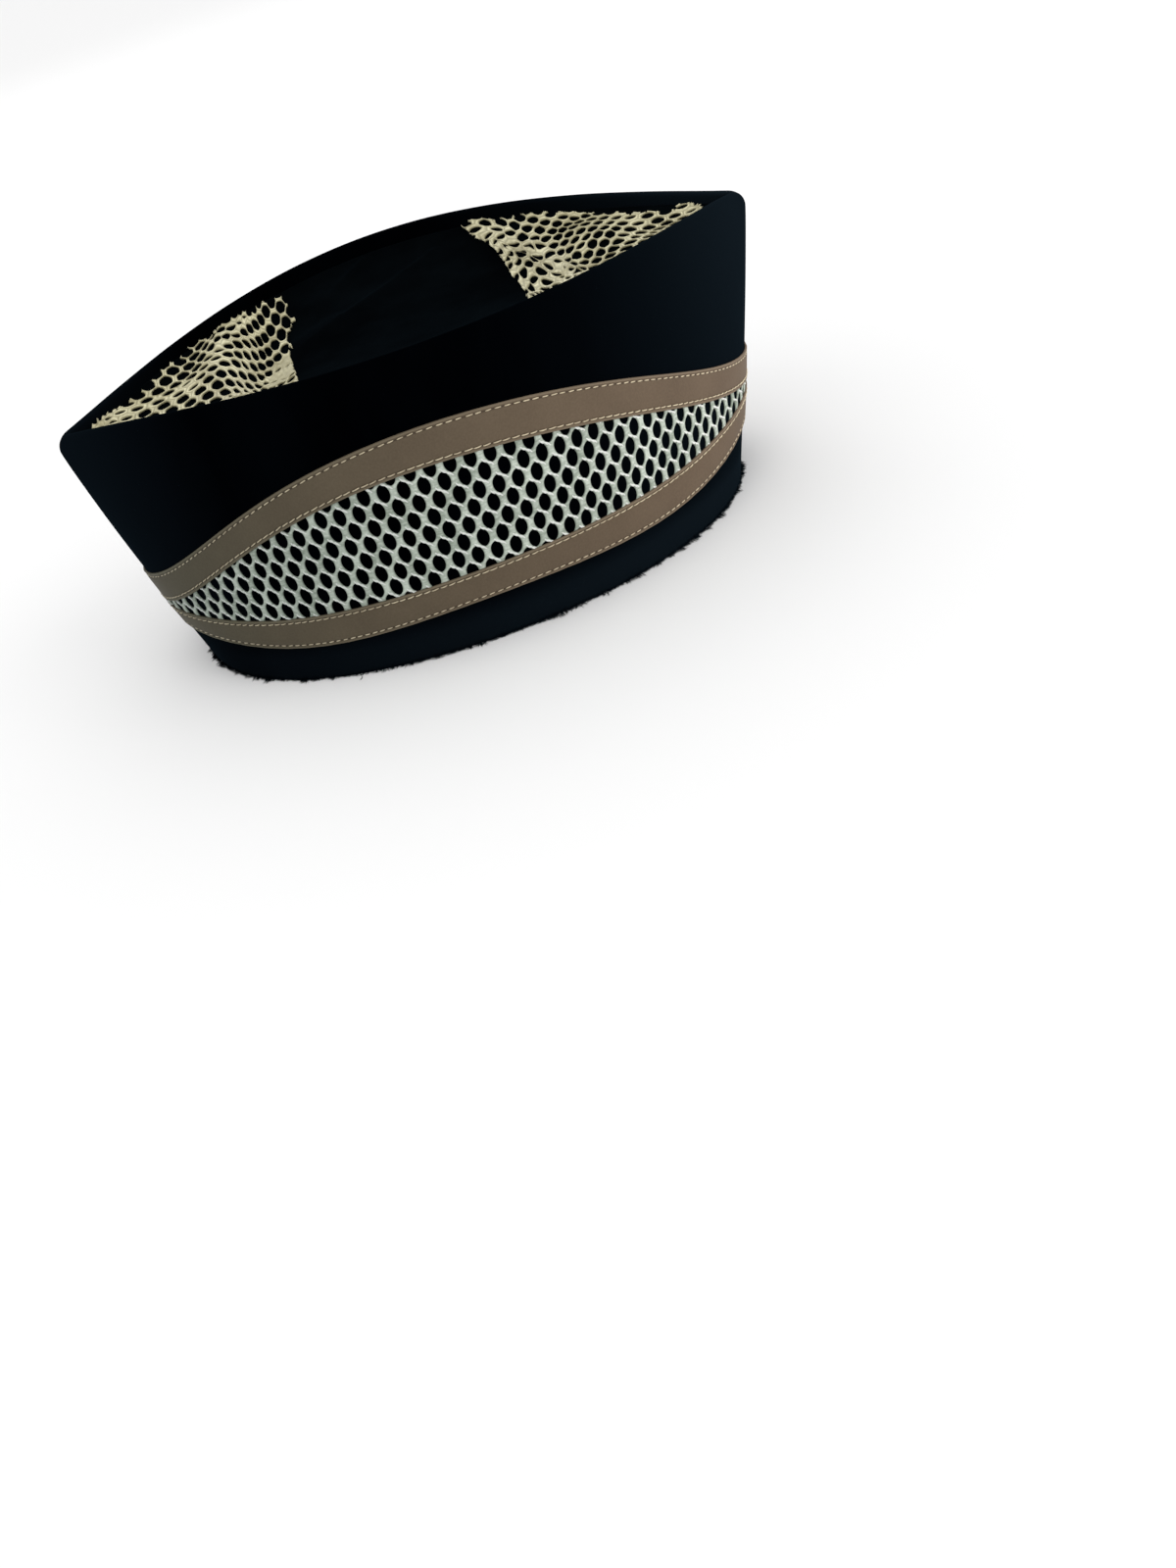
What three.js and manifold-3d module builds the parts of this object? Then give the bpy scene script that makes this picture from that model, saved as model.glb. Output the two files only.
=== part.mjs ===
// A chieftaincy cap: two velvet side panels meet in a point at the front and at the back, and a soft
// crown is sunk between them. Two leather-look tapes frame a band of net on each side, and a net
// triangle covers each end of the crown. Millimetres, +Z up, +X to the front, +Y to the wearer's left.
// The origin is on the surface that the cap stands on, under the middle of its outline.
import * as THREE from 'three';
import { mergeVertices } from 'three/addons/utils/BufferGeometryUtils.js';
import Module from 'manifold-3d';

const wasm = await Module();
wasm.setup();

// Driving dimensions of the side panels, all to their outer face
const RIM_LENGTH = 203;
const RIM_WIDTH = 160;
const RIM_SETBACK = 3.3; // the rim's middle lies this far behind the middle of the top
const TOP_LENGTH = 248.8;
const TOP_WIDTH = 161.7;
const FRONT_HEIGHT = 88.5;
const BACK_HEIGHT = 86.7;
const SIDE_RISE = 10.9; // the top edge arches up by this much at the middle of each side
const SIDE_BULGE = 2; // outward swell of the panels at half height
const RIM_POWER = 0.9; // power of the sine in the width: 1 is an ellipse, less is fuller
const TOP_POWER = 2.34; // more than 1 draws the two ends out into points
const TIP_RADIUS = 4; // rounding of the top corner at each point

// Thicknesses, and the small clearances between neighbours
const PANEL = 3;
const CROWN = 2;
const TAPE = 1.2;
const NET = 1;
const GAP = 0.3;
const CROWN_GAP = 0.5; // round the crown, whose straight facets lie inside curved walls and under nets

// Heights of the tapes' edges along one side. Each runs from its middle height to its height at the
// two ends, as a power of the cosine. The crest lies behind the middle by shift, as a share of half the
// side. The edge leans up to the front by lean, and dips by waist halfway to each end.
const TAPE_EDGES = {
  lowerBottom: { middle: 15.3, ends: 18.5, lean: 1.2, power: 0.55, shift: 0, waist: 3.1 },
  lowerTop: { middle: 25.8, ends: 25.2, lean: 1.9, power: 0.6, shift: 0, waist: 1.8 },
  upperBottom: { middle: 63.5, ends: 26.9, lean: 2.5, power: 1.82, shift: 0.07, waist: 0 },
  upperTop: { middle: 75.8, ends: 36.8, lean: 1.6, power: 1.87, shift: 0.05, waist: 0 },
};

// The crown is sewn in below the top edge and sags in the middle
const CROWN_DEPTH_SIDE = 5;
const CROWN_DEPTH_TIP = 2.5;
const CROWN_SAG = 12.5;
const CROWN_END = 7; // the crown stops this far short of each point
const SAG_POWER = 3; // more keeps the sag nearly full until close to the points

// Soft folds of the crown: a ridge, or a valley where height is negative, along a line in plan
const FOLDS = [
  { x1: -66, y1: 42, x2: -59, y2: -40, height: 3, width: 8 },
  { x1: -51, y1: 48, x2: -45, y2: -45, height: -3.5, width: 7 },
  { x1: 50, y1: 62, x2: 58, y2: -30, height: 4, width: 7 },
  { x1: 67, y1: 35, x2: 68, y2: -30, height: -2.5, width: 8 },
  { x1: -29, y1: 50, x2: -3, y2: 73, height: 1.5, width: 6 },
  { x1: -36, y1: 25, x2: 20, y2: 58, height: 1.8, width: 7 },
  { x1: 20, y1: -30, x2: 42, y2: -20, height: 1.8, width: 7 },
];

// Nets: a staggered lattice of lemon-shaped holes, none nearer to a net's sides than edge, and none
// shorter than least. Each top net runs from its base, straight across the crown, towards a point.
const SIDE_HOLES = { pitch: 13.4, row: 11.4, halfWidth: 3.9, halfHeight: 5.8, edge: 1.2, least: 6 };
const TOP_HOLES = { pitch: 17, row: 15, halfWidth: 5, halfHeight: 7.4, edge: 2, least: 7 };
const SIDE_NET_REACH = 0.92; // share of the way from the middle of a side to its ends
const TOP_NET_TRIM = 2; // distance from a top net's sides to the crown's edge
const CUT_DEPTH = 4;
const TOP_CUT_DEPTH = 20; // deep enough where the crown slopes
const TOP_NETS = {
  top_net_front: { base: 41, tip: 110 },
  top_net_back: { base: -38, tip: -111.5 },
};

// Fineness of the faceted surfaces
const ANGLE_STEPS = 32;
const PANEL_ROWS = 5;
const SIDE_NET_STEPS = 24;
const SIDE_NET_ROWS = 2;
const CROWN_COLUMNS = 30;
const CROWN_ROWS = 10;

const lerp = THREE.MathUtils.lerp;

function material(name, color, roughness) {
  return new THREE.MeshStandardMaterial({ name, color, roughness, metalness: 0 });
}

const MATERIALS = {
  velvet: material('velvet', 0x05080d, 0.95),
  tape: material('tape', 0x695d50, 0.6),
  sideNet: material('side_net', 0xd3dbd0, 0.8),
  topNet: material('top_net', 0xd0c8a8, 0.8),
};

// Height of the top edge at an angle round the side: 0 is the front point and pi the back point
function topEdge(angle) {
  const u = Math.cos(angle);
  const middle = (FRONT_HEIGHT + BACK_HEIGHT) / 2;
  const rise = SIDE_RISE * Math.sin(angle) ** 2;
  const fromTip = (TOP_LENGTH / 2) * (1 - Math.abs(u));
  const inCorner = Math.max(0, TIP_RADIUS - fromTip);
  const rounding = TIP_RADIUS - Math.sqrt(TIP_RADIUS ** 2 - inCorner ** 2);
  return middle + ((FRONT_HEIGHT - BACK_HEIGHT) / 2) * u + rise - rounding;
}

// Plan of the left panel's outer face, share 0 at the rim and 1 at the top edge
function outline(angle, share) {
  const u = Math.cos(angle);
  const sine = Math.sin(angle);
  const bulge = SIDE_BULGE * 4 * share * (1 - share);
  const x = lerp((RIM_LENGTH / 2) * u - RIM_SETBACK, (TOP_LENGTH / 2) * u, share) + bulge * u;
  const y = lerp((RIM_WIDTH / 2) * sine ** RIM_POWER, (TOP_WIDTH / 2) * sine ** TOP_POWER, share);
  return new THREE.Vector2(x, y + bulge * sine ** 2);
}

// The same outline moved outward, or inward where offset is negative
function offsetOutline(angle, share, offset) {
  const step = Math.min(0.001, angle / 2, (Math.PI - angle) / 2);
  const along = outline(angle + step, share).sub(outline(angle - step, share)).normalize();
  return outline(angle, share).add(new THREE.Vector2(along.y, -along.x).multiplyScalar(offset));
}

// Halves the stretch between a value that passes a test and one that fails it, down to the border
function border(passes, fails, test) {
  let [yes, no] = [passes, fails];
  for (let i = 0; i < 40; i += 1) {
    const middle = (yes + no) / 2;
    if (test(middle)) yes = middle;
    else no = middle;
  }
  return yes;
}

// Angle, in the front or back half, at which the offset outline meets the seam at the middle plane
function endAngle(share, offset, end) {
  const turn = (a) => (end === 'front' ? a : Math.PI - a);
  const clear = (a) => offsetOutline(turn(a), share, offset).y > GAP / 2;
  const least = 0.0005;
  const step = 0.02;
  let angle = Math.PI / 2;
  while (angle > least && clear(angle)) angle = Math.max(least, angle - step);
  return turn(border(angle + step, angle, clear));
}

// Share of the way along a side at an angle: 0 in its middle, 1 at the front and -1 at the back
const ARC_SHARE = 0.42; // share of the height at which the length is measured, amid the tapes
const ARC_STEPS = 400;
const ARC = [0];
for (let i = 1; i <= ARC_STEPS; i += 1) {
  const before = outline(((i - 1) / ARC_STEPS) * Math.PI, ARC_SHARE);
  ARC.push(ARC[i - 1] + before.distanceTo(outline((i / ARC_STEPS) * Math.PI, ARC_SHARE)));
}
const HALF_ARC = ARC[ARC_STEPS] / 2;

function alongSide(angle) {
  const place = (angle / Math.PI) * ARC_STEPS;
  const i = Math.min(ARC_STEPS - 1, Math.floor(place));
  return 1 - lerp(ARC[i], ARC[i + 1], place - i) / HALF_ARC;
}

function angleAlong(share) {
  return border(0, Math.PI, (angle) => alongSide(angle) > share);
}

function tapeHeight(edge, q) {
  const turn = (Math.PI / 2) * (q + edge.shift * (1 - q ** 2));
  const fall = Math.max(0, Math.cos(turn)) ** edge.power;
  return lerp(edge.ends, edge.middle, fall) + edge.lean * q - edge.waist * Math.sin(Math.PI * q) ** 2;
}

// Point on a side panel's outer face, or offset from it, at a height
function sidePoint(angle, height, side, offset) {
  const plan = offsetOutline(angle, height / topEdge(angle), offset);
  return new THREE.Vector3(plan.x, side * plan.y, height);
}

// A closed body between two grids of points with the same rows and columns
function slab(front, back) {
  const rows = front.length;
  const columns = front[0].length;
  const points = [...front.flat(), ...back.flat()];
  const index = [];
  const near = (r, c) => r * columns + c;
  const far = (r, c) => (rows + r) * columns + c;
  const quad = (p, q, r, s) => index.push(p, q, r, p, r, s);
  for (let r = 0; r + 1 < rows; r += 1) {
    for (let c = 0; c + 1 < columns; c += 1) {
      quad(near(r, c), near(r, c + 1), near(r + 1, c + 1), near(r + 1, c));
      quad(far(r, c), far(r + 1, c), far(r + 1, c + 1), far(r, c + 1));
    }
    quad(near(r, 0), near(r + 1, 0), far(r + 1, 0), far(r, 0));
    quad(near(r, columns - 1), far(r, columns - 1), far(r + 1, columns - 1), near(r + 1, columns - 1));
  }
  for (let c = 0; c + 1 < columns; c += 1) {
    quad(near(0, c), far(0, c), far(0, c + 1), near(0, c + 1));
    quad(near(rows - 1, c), near(rows - 1, c + 1), far(rows - 1, c + 1), far(rows - 1, c));
  }
  if (signedVolume(points, index) < 0) index.reverse();
  return toGeometry(points.flatMap((p) => [p.x, p.y, p.z]), index);
}

function signedVolume(points, index) {
  let volume = 0;
  for (let i = 0; i < index.length; i += 3) {
    const [a, b, c] = index.slice(i, i + 3).map((k) => points[k]);
    volume += a.dot(new THREE.Vector3().crossVectors(b, c)) / 6;
  }
  return volume;
}

function toGeometry(positions, index) {
  const geometry = new THREE.BufferGeometry();
  geometry.setAttribute('position', new THREE.Float32BufferAttribute(positions, 3));
  geometry.setIndex([...index]);
  geometry.computeVertexNormals();
  return geometry;
}

function toSolid(geometry) {
  const bare = geometry.clone();
  bare.deleteAttribute('normal');
  bare.deleteAttribute('uv');
  const merged = mergeVertices(bare);
  return new wasm.Manifold(new wasm.Mesh({
    numProp: 3,
    vertProperties: Float32Array.from(merged.attributes.position.array),
    triVerts: Uint32Array.from(merged.index.array),
  }));
}

// A sheet with holes cut through it
function pierce(sheet, cutters) {
  const cut = cutters.reduce((solid, cutter) => solid.subtract(toSolid(cutter)), toSolid(sheet));
  const { vertProperties, triVerts } = cut.getMesh();
  return toGeometry(vertProperties, triVerts);
}

// A lemon-shaped hole's cutter, reaching up and down from its middle, square to its x and y axes
function holeCutter(halfWidth, up, down, depth) {
  const shoulder = 0.35;
  const lemon = new THREE.Shape([
    new THREE.Vector2(0, -down),
    new THREE.Vector2(halfWidth, -down * shoulder),
    new THREE.Vector2(halfWidth, up * shoulder),
    new THREE.Vector2(0, up),
    new THREE.Vector2(-halfWidth, up * shoulder),
    new THREE.Vector2(-halfWidth, -down * shoulder),
  ]);
  return new THREE.ExtrudeGeometry(lemon, { depth, bevelEnabled: false }).translate(0, 0, -depth / 2);
}

// Evenly spaced values, both ends included
function spread(from, to, steps) {
  return Array.from({ length: steps + 1 }, (_, i) => lerp(from, to, i / steps));
}

// Angles of one row of points along a side, from its front end to its back end
function rowAngles(share, offset) {
  return spread(endAngle(share, offset, 'front'), endAngle(share, offset, 'back'), ANGLE_STEPS);
}

function sidePanel(side) {
  const row = (share, offset) => rowAngles(share, offset).map((angle) => {
    const plan = offsetOutline(angle, share, offset);
    return new THREE.Vector3(plan.x, side * plan.y, share * topEdge(angle));
  });
  const face = (offset) => spread(0, 1, PANEL_ROWS).map((share) => row(share, offset));
  return slab(face(0), face(-PANEL));
}

// A strip lying on a side panel between two heights that change along it
function sideStrip(side, angles, rows, inner, outer, bottom, top) {
  const face = (offset) => spread(0, 1, rows).map((up) => angles.map((angle) => {
    const q = alongSide(angle);
    return sidePoint(angle, lerp(bottom(q), top(q), up), side, offset);
  }));
  return slab(face(inner), face(outer));
}

function tape(side, lower, upper) {
  const angles = rowAngles(ARC_SHARE, GAP + TAPE);
  const bottom = (q) => tapeHeight(lower, q);
  const top = (q) => tapeHeight(upper, q);
  return sideStrip(side, angles, 1, GAP, GAP + TAPE, bottom, top);
}

function sideNet(side) {
  const bottom = (q) => tapeHeight(TAPE_EDGES.lowerTop, q) + GAP;
  const top = (q) => tapeHeight(TAPE_EDGES.upperBottom, q) - GAP;
  const angles = spread(angleAlong(SIDE_NET_REACH), angleAlong(-SIDE_NET_REACH), SIDE_NET_STEPS);
  const sheet = sideStrip(side, angles, SIDE_NET_ROWS, GAP, GAP + NET, bottom, top);
  const { pitch, row, halfWidth, halfHeight, edge, least } = SIDE_HOLES;
  const cutters = [];
  const middle = (bottom(0) + top(0)) / 2;
  const columns = Math.floor((SIDE_NET_REACH * HALF_ARC - halfWidth - edge) / (pitch / 2));
  for (let column = -columns; column <= columns; column += 1) {
    const q = (column * pitch) / 2 / HALF_ARC;
    for (let pair = -1; pair <= 1; pair += 1) {
      const height = middle + (2 * pair + Math.abs(column % 2) - 0.5) * row;
      const up = Math.min(halfHeight, top(q) - edge - height);
      const down = Math.min(halfHeight, height - edge - bottom(q));
      if (up <= 0 || down <= 0 || up + down < least) continue;
      const place = sideFrame(angleAlong(q), height, side);
      cutters.push(holeCutter(halfWidth, up, down, CUT_DEPTH).applyMatrix4(place));
    }
  }
  return pierce(sheet, cutters);
}

// A frame in the middle of the side net: x along the panel, y up, z square out of it
function sideFrame(angle, height, side) {
  const at = sidePoint(angle, height, side, GAP + NET / 2);
  const out = sidePoint(angle, height, side, GAP + NET).sub(at).normalize();
  const upward = new THREE.Vector3(0, 0, 1);
  const across = new THREE.Vector3().crossVectors(upward, out);
  return new THREE.Matrix4().makeBasis(across, upward, out).setPosition(at);
}

// Height of a fold's ridge or valley at a place in plan
function foldHeight(fold, x, y) {
  const from = new THREE.Vector3(fold.x1, fold.y1, 0);
  const to = new THREE.Vector3(fold.x2, fold.y2, 0);
  const nearest = new THREE.Vector3();
  const place = new THREE.Vector3(x, y, 0);
  new THREE.Line3(from, to).closestPointToPoint(place, true, nearest);
  return fold.height * Math.exp(-((nearest.distanceTo(place) / fold.width) ** 2));
}

// The crown's edge, just inside the panels, at an angle: its place in plan and its height
function crownEdgeAt(angle) {
  const depth = lerp(CROWN_DEPTH_TIP, CROWN_DEPTH_SIDE, Math.sin(angle) ** 2);
  const z = topEdge(angle) - depth;
  const plan = offsetOutline(angle, z / topEdge(angle), -PANEL - CROWN_GAP);
  return { x: plan.x, halfWidth: plan.y, z };
}

function crownEdge(x) {
  return crownEdgeAt(border(0, Math.PI, (angle) => crownEdgeAt(angle).x > x));
}

// A point of the crown's upper face: across runs from -1 at the right edge to 1 at the left edge
function crownPoint(x, across) {
  const { halfWidth, z } = crownEdge(x);
  const y = across * halfWidth;
  const towardsTip = Math.abs(x) / (TOP_LENGTH / 2);
  const inside = 1 - across ** 2;
  const sag = CROWN_SAG * inside * (1 - towardsTip ** SAG_POWER);
  const folds = FOLDS.reduce((sum, fold) => sum + foldHeight(fold, x, y), 0);
  return new THREE.Vector3(x, y, z - sag + folds * Math.min(1, 2 * inside));
}

// The crown's columns of points, from back to front, and its rows, from right to left
const CROWN_REACH = TOP_LENGTH / 2 - CROWN_END;
const CROWN_X = spread(-CROWN_REACH, CROWN_REACH, CROWN_COLUMNS);
const CROWN_ACROSS = spread(-1, 1, CROWN_ROWS);

// Moves a grid of points straight up or down
function lifted(grid, by) {
  return grid.map((line) => line.map((p) => new THREE.Vector3(p.x, p.y, p.z + by)));
}

function crownPanel() {
  const face = CROWN_X.map((x) => CROWN_ACROSS.map((across) => crownPoint(x, across)));
  return slab(face, lifted(face, -CROWN));
}

// One line of a top net across the crown, on the crown's own facets and a little in from its edges
function topNetLine(x) {
  const after = CROWN_X.findIndex((column) => column > x);
  const [x0, x1] = [CROWN_X[after - 1], CROWN_X[after]];
  const share = (x - x0) / (x1 - x0);
  const line = CROWN_ACROSS.map((across) => crownPoint(x0, across).lerp(crownPoint(x1, across), share));
  const trim = Math.min(1 / 2, TOP_NET_TRIM / line[0].distanceTo(line[1]));
  line[0].lerp(line[1], trim);
  line[CROWN_ROWS].lerp(line[CROWN_ROWS - 1], trim);
  return line;
}

function topNet({ base, tip }) {
  const [from, to] = [Math.min(base, tip), Math.max(base, tip)];
  const between = CROWN_X.filter((x) => x > from + 1 && x < to - 1);
  const face = [from, ...between, to].map(topNetLine);
  const sheet = slab(lifted(face, CROWN_GAP), lifted(face, CROWN_GAP + NET));
  const { pitch, row, halfWidth, halfHeight, edge, least } = TOP_HOLES;
  const cutters = [];
  const columns = Math.floor((Math.abs(tip - base) - 2 * (edge + halfWidth)) / (pitch / 2));
  const most = Math.ceil(TOP_WIDTH / 4 / row);
  for (let column = 0; column <= columns; column += 1) {
    const x = base + Math.sign(tip - base) * (edge + halfWidth + (column * pitch) / 2);
    const { halfWidth: crownHalf } = crownEdge(x);
    const reach = crownHalf - TOP_NET_TRIM - 2 * edge;
    for (let pair = -most; pair <= most; pair += 1) {
      const y = (2 * pair + (column % 2) - 0.5) * row;
      const up = Math.min(halfHeight, reach - y);
      const down = Math.min(halfHeight, y + reach);
      if (up <= 0 || down <= 0 || up + down < least) continue;
      const { z } = crownPoint(x, y / crownHalf);
      cutters.push(holeCutter(halfWidth, up, down, TOP_CUT_DEPTH).translate(x, y, z));
    }
  }
  return pierce(sheet, cutters);
}

// The object: every piece in its place
const cap = new THREE.Group();

function add(name, geometry, finish) {
  const mesh = new THREE.Mesh(geometry, finish);
  mesh.name = name;
  cap.add(mesh);
}

for (const [where, side] of [['right', -1], ['left', 1]]) {
  const { lowerBottom, lowerTop, upperBottom, upperTop } = TAPE_EDGES;
  add(`side_panel_${where}`, sidePanel(side), MATERIALS.velvet);
  add(`lower_tape_${where}`, tape(side, lowerBottom, lowerTop), MATERIALS.tape);
  add(`upper_tape_${where}`, tape(side, upperBottom, upperTop), MATERIALS.tape);
  add(`side_net_${where}`, sideNet(side), MATERIALS.sideNet);
}
add('crown_panel', crownPanel(), MATERIALS.velvet);
for (const [name, ends] of Object.entries(TOP_NETS)) {
  add(name, topNet(ends), MATERIALS.topNet);
}

export default cap;
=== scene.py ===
# %% [markdown]
# The cap, from frame to finish
#
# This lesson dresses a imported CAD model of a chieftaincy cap: two dark velvet side panels that meet in
# a point at the front and at the back, a soft crown sunk between them, net and leather-look tapes.
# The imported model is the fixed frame. Every piece below is built around it, in the same place and at
# the same size, because the frame is what carries the cap in a simulation.

# %% Load the frame
import math

import bmesh
import bpy
import numpy as np
from mathutils import Matrix


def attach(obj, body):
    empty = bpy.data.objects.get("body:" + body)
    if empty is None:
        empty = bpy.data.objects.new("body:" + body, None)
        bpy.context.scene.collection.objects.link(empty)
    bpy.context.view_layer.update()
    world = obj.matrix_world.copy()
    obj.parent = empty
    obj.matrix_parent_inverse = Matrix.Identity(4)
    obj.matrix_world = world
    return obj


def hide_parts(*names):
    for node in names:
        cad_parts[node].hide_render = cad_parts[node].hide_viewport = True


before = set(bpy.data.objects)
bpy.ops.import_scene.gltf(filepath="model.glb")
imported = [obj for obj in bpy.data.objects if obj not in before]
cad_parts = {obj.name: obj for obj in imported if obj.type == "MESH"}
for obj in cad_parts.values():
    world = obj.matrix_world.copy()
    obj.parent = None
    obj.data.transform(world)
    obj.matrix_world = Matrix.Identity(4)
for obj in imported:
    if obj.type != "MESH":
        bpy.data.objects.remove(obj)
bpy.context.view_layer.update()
MM = 0.001
print("CAD nodes:", sorted(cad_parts))

# %% [markdown]
# The camera and the room
#
# The camera stands to the right of the cap and above it, tipped to one side, as the picture of the
# real cap was taken by hand. A camera could be aimed with a tracking constraint, but a tipped one is
# plainer as three axes: where its right, its up and its back point to. The room is a pale floor under
# a white sky with two large soft lamps, so that black velvet keeps its depth.

# %% Camera
CAMERA_PLACE = (-0.0276, -0.5398, 0.2271)
CAMERA_RIGHT = (0.9343, -0.2336, -0.2691)
CAMERA_UP = (0.3518, 0.4847, 0.8008)
CAMERA_BACK = (-0.0567, -0.8429, 0.5351)
CAMERA_LENS = 36.0

camera_data = bpy.data.cameras.new("cap_camera")
camera_data.sensor_width = 36.0
camera_data.lens = CAMERA_LENS
camera_data.clip_start = 0.01
camera = bpy.data.objects.new("cap_camera", camera_data)
bpy.context.scene.collection.objects.link(camera)
turn = Matrix((CAMERA_RIGHT, CAMERA_UP, CAMERA_BACK)).transposed().to_4x4()
camera.matrix_world = Matrix.Translation(CAMERA_PLACE) @ turn
bpy.context.scene.camera = camera
print("camera at", CAMERA_PLACE, "lens", CAMERA_LENS, "mm")

# %% Floor, sky and lamps
FLOOR_SIZE = 80.0
FLOOR_COLOUR = (0.9, 0.9, 0.9, 1.0)
SKY_COLOUR = (1.0, 1.0, 1.0, 1.0)
SKY_STRENGTH = 1.02
LAMPS = [
    {"name": "window_lamp", "place": (1.6, -1.1, 1.5), "size": 1.6, "power": 9.0},
    {"name": "room_lamp", "place": (-1.5, -1.4, 1.7), "size": 2.2, "power": 3.0},
    {"name": "back_lamp", "place": (-0.3, 1.9, 1.6), "size": 1.8, "power": 5.0},
]


def plain_material(name, colour, roughness):
    """A material with nothing but a Principled BSDF, whose node is returned with it."""
    material = bpy.data.materials.new(name)
    material.use_nodes = True
    shader = material.node_tree.nodes["Principled BSDF"]
    shader.inputs["Base Color"].default_value = colour
    shader.inputs["Roughness"].default_value = roughness
    return material, shader


floor_mesh = bpy.data.meshes.new("floor")
half_floor = FLOOR_SIZE / 2
floor_corners = [(-half_floor, -half_floor, 0), (half_floor, -half_floor, 0),
                 (half_floor, half_floor, 0), (-half_floor, half_floor, 0)]
floor_mesh.from_pydata(floor_corners, [], [(0, 1, 2, 3)])
floor = bpy.data.objects.new("floor", floor_mesh)
bpy.context.scene.collection.objects.link(floor)
floor_mesh.materials.append(plain_material("floor_white", FLOOR_COLOUR, 0.9)[0])

sky = bpy.data.worlds.new("studio_sky")
bpy.context.scene.world = sky
sky.use_nodes = True
sky.node_tree.nodes["Background"].inputs["Color"].default_value = SKY_COLOUR
sky.node_tree.nodes["Background"].inputs["Strength"].default_value = SKY_STRENGTH
bpy.context.scene.view_settings.view_transform = "Standard"

for lamp in LAMPS:
    lamp_data = bpy.data.lights.new(lamp["name"], "AREA")
    lamp_data.size = lamp["size"]
    lamp_data.energy = lamp["power"]
    lamp_object = bpy.data.objects.new(lamp["name"], lamp_data)
    bpy.context.scene.collection.objects.link(lamp_object)
    lamp_place = Matrix.Translation(lamp["place"])
    away = lamp_place.to_translation()
    lamp_object.matrix_world = lamp_place @ away.to_track_quat("Z", "Y").to_matrix().to_4x4()
print("lamps:", [lamp["name"] for lamp in LAMPS])

# %% [markdown]
# The form of the cap
#
# Both side panels follow one rule: an outline in plan that goes from a full oval at the rim to a
# pointed boat at the top edge. Sculpting would give the shape too, but a rule lets every later piece
# find its own place on the cloth. The sizes are those of the CAD source, in millimetres.

# %% Sizes of the panels
RIM_LENGTH = 203.0
RIM_WIDTH = 160.0
RIM_SETBACK = 3.3
TOP_LENGTH = 248.8
TOP_WIDTH = 161.7
FRONT_HEIGHT = 88.5
BACK_HEIGHT = 86.7
SIDE_RISE = 10.9
SIDE_BULGE = 2.0
RIM_POWER = 0.9
TOP_POWER = 2.34
TIP_RADIUS = 4.0
PANEL = 3.0
SEAM = 0.06  # half the gap between the two sides, at the front and back seams
SIDES = (("right", -1), ("left", 1))  # the sides and the sign of y on them

# %% Outline of a side panel


def lerp(a, b, share):
    return a + (b - a) * share


def bell(distance, middle, width):
    """A smooth hump that is 1 at the middle and falls to about a third at the width from it."""
    return np.exp(-((distance - middle) / width) ** 2)


def top_edge(angle):
    """Height of the top edge at an angle round the side: 0 is the front point and pi the back point."""
    u = np.cos(angle)
    middle = (FRONT_HEIGHT + BACK_HEIGHT) / 2
    in_corner = np.maximum(0, TIP_RADIUS - TOP_LENGTH / 2 * (1 - np.abs(u)))
    rounding = TIP_RADIUS - np.sqrt(TIP_RADIUS ** 2 - in_corner ** 2)
    rise = SIDE_RISE * np.sin(angle) ** 2
    return middle + (FRONT_HEIGHT - BACK_HEIGHT) / 2 * u + rise - rounding


def outline(angle, share):
    """Plan of the left panel's outer face, share 0 at the rim and 1 at the top edge."""
    u = np.cos(angle)
    sine = np.maximum(np.sin(angle), 0)
    bulge = SIDE_BULGE * 4 * share * (1 - share)
    x = lerp(RIM_LENGTH / 2 * u - RIM_SETBACK, TOP_LENGTH / 2 * u, share) + bulge * u
    y = lerp(RIM_WIDTH / 2 * sine ** RIM_POWER, TOP_WIDTH / 2 * sine ** TOP_POWER, share)
    return x, y + bulge * sine ** 2


def offset_outline(angle, share, offset):
    """The same outline moved outward, or inward where offset is negative."""
    step = np.minimum(0.001, np.minimum(angle, np.pi - angle) / 2)
    x0, y0 = outline(angle - step, share)
    x1, y1 = outline(angle + step, share)
    length = np.hypot(x1 - x0, y1 - y0)
    x, y = outline(angle, share)
    return x + (y1 - y0) / length * offset, y - (x1 - x0) / length * offset


def side_point(angle, height, offset, side):
    """Points on a side panel's outer face, or offset from it, at a height."""
    x, y = offset_outline(angle, height / top_edge(angle), offset)
    return np.stack(np.broadcast_arrays(x, side * y, height), axis=-1)


# %% Places along a side
ARC_SHARE = 0.42  # share of the height at which lengths along the side are measured
ARC_ANGLES = np.linspace(0, np.pi, 2001)
arc_x, arc_y = outline(ARC_ANGLES, ARC_SHARE)
arc_length = np.concatenate([[0], np.cumsum(np.hypot(np.diff(arc_x), np.diff(arc_y)))])
HALF_ARC = arc_length[-1] / 2
SMALLEST_ANGLE = 0.0005  # where the search for a seam ends, just short of the point


def angle_at(along):
    """Angle at a length from the middle of a side, in millimetres, positive to the front."""
    return np.interp(HALF_ARC - along, arc_length, ARC_ANGLES)


def along_at(angle):
    """Length from the middle of a side, in millimetres, at an angle."""
    return np.interp(angle, ARC_ANGLES, HALF_ARC - arc_length)


def end_angle(away, end):
    """Angle at which a line's distance from the middle plane, away(angle), falls to SEAM."""
    angles = np.linspace(np.pi / 2, SMALLEST_ANGLE, 200)
    turned = angles if end == "front" else np.pi - angles
    clear = away(turned) > SEAM
    first = len(angles) - 1 if clear.all() else int(np.argmin(clear))
    near, far = angles[first], angles[max(first - 1, 0)]
    for _ in range(30):
        middle = (near + far) / 2
        if away(np.array(middle if end == "front" else np.pi - middle)) > SEAM:
            far = middle
        else:
            near = middle
    return far if end == "front" else np.pi - far


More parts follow.
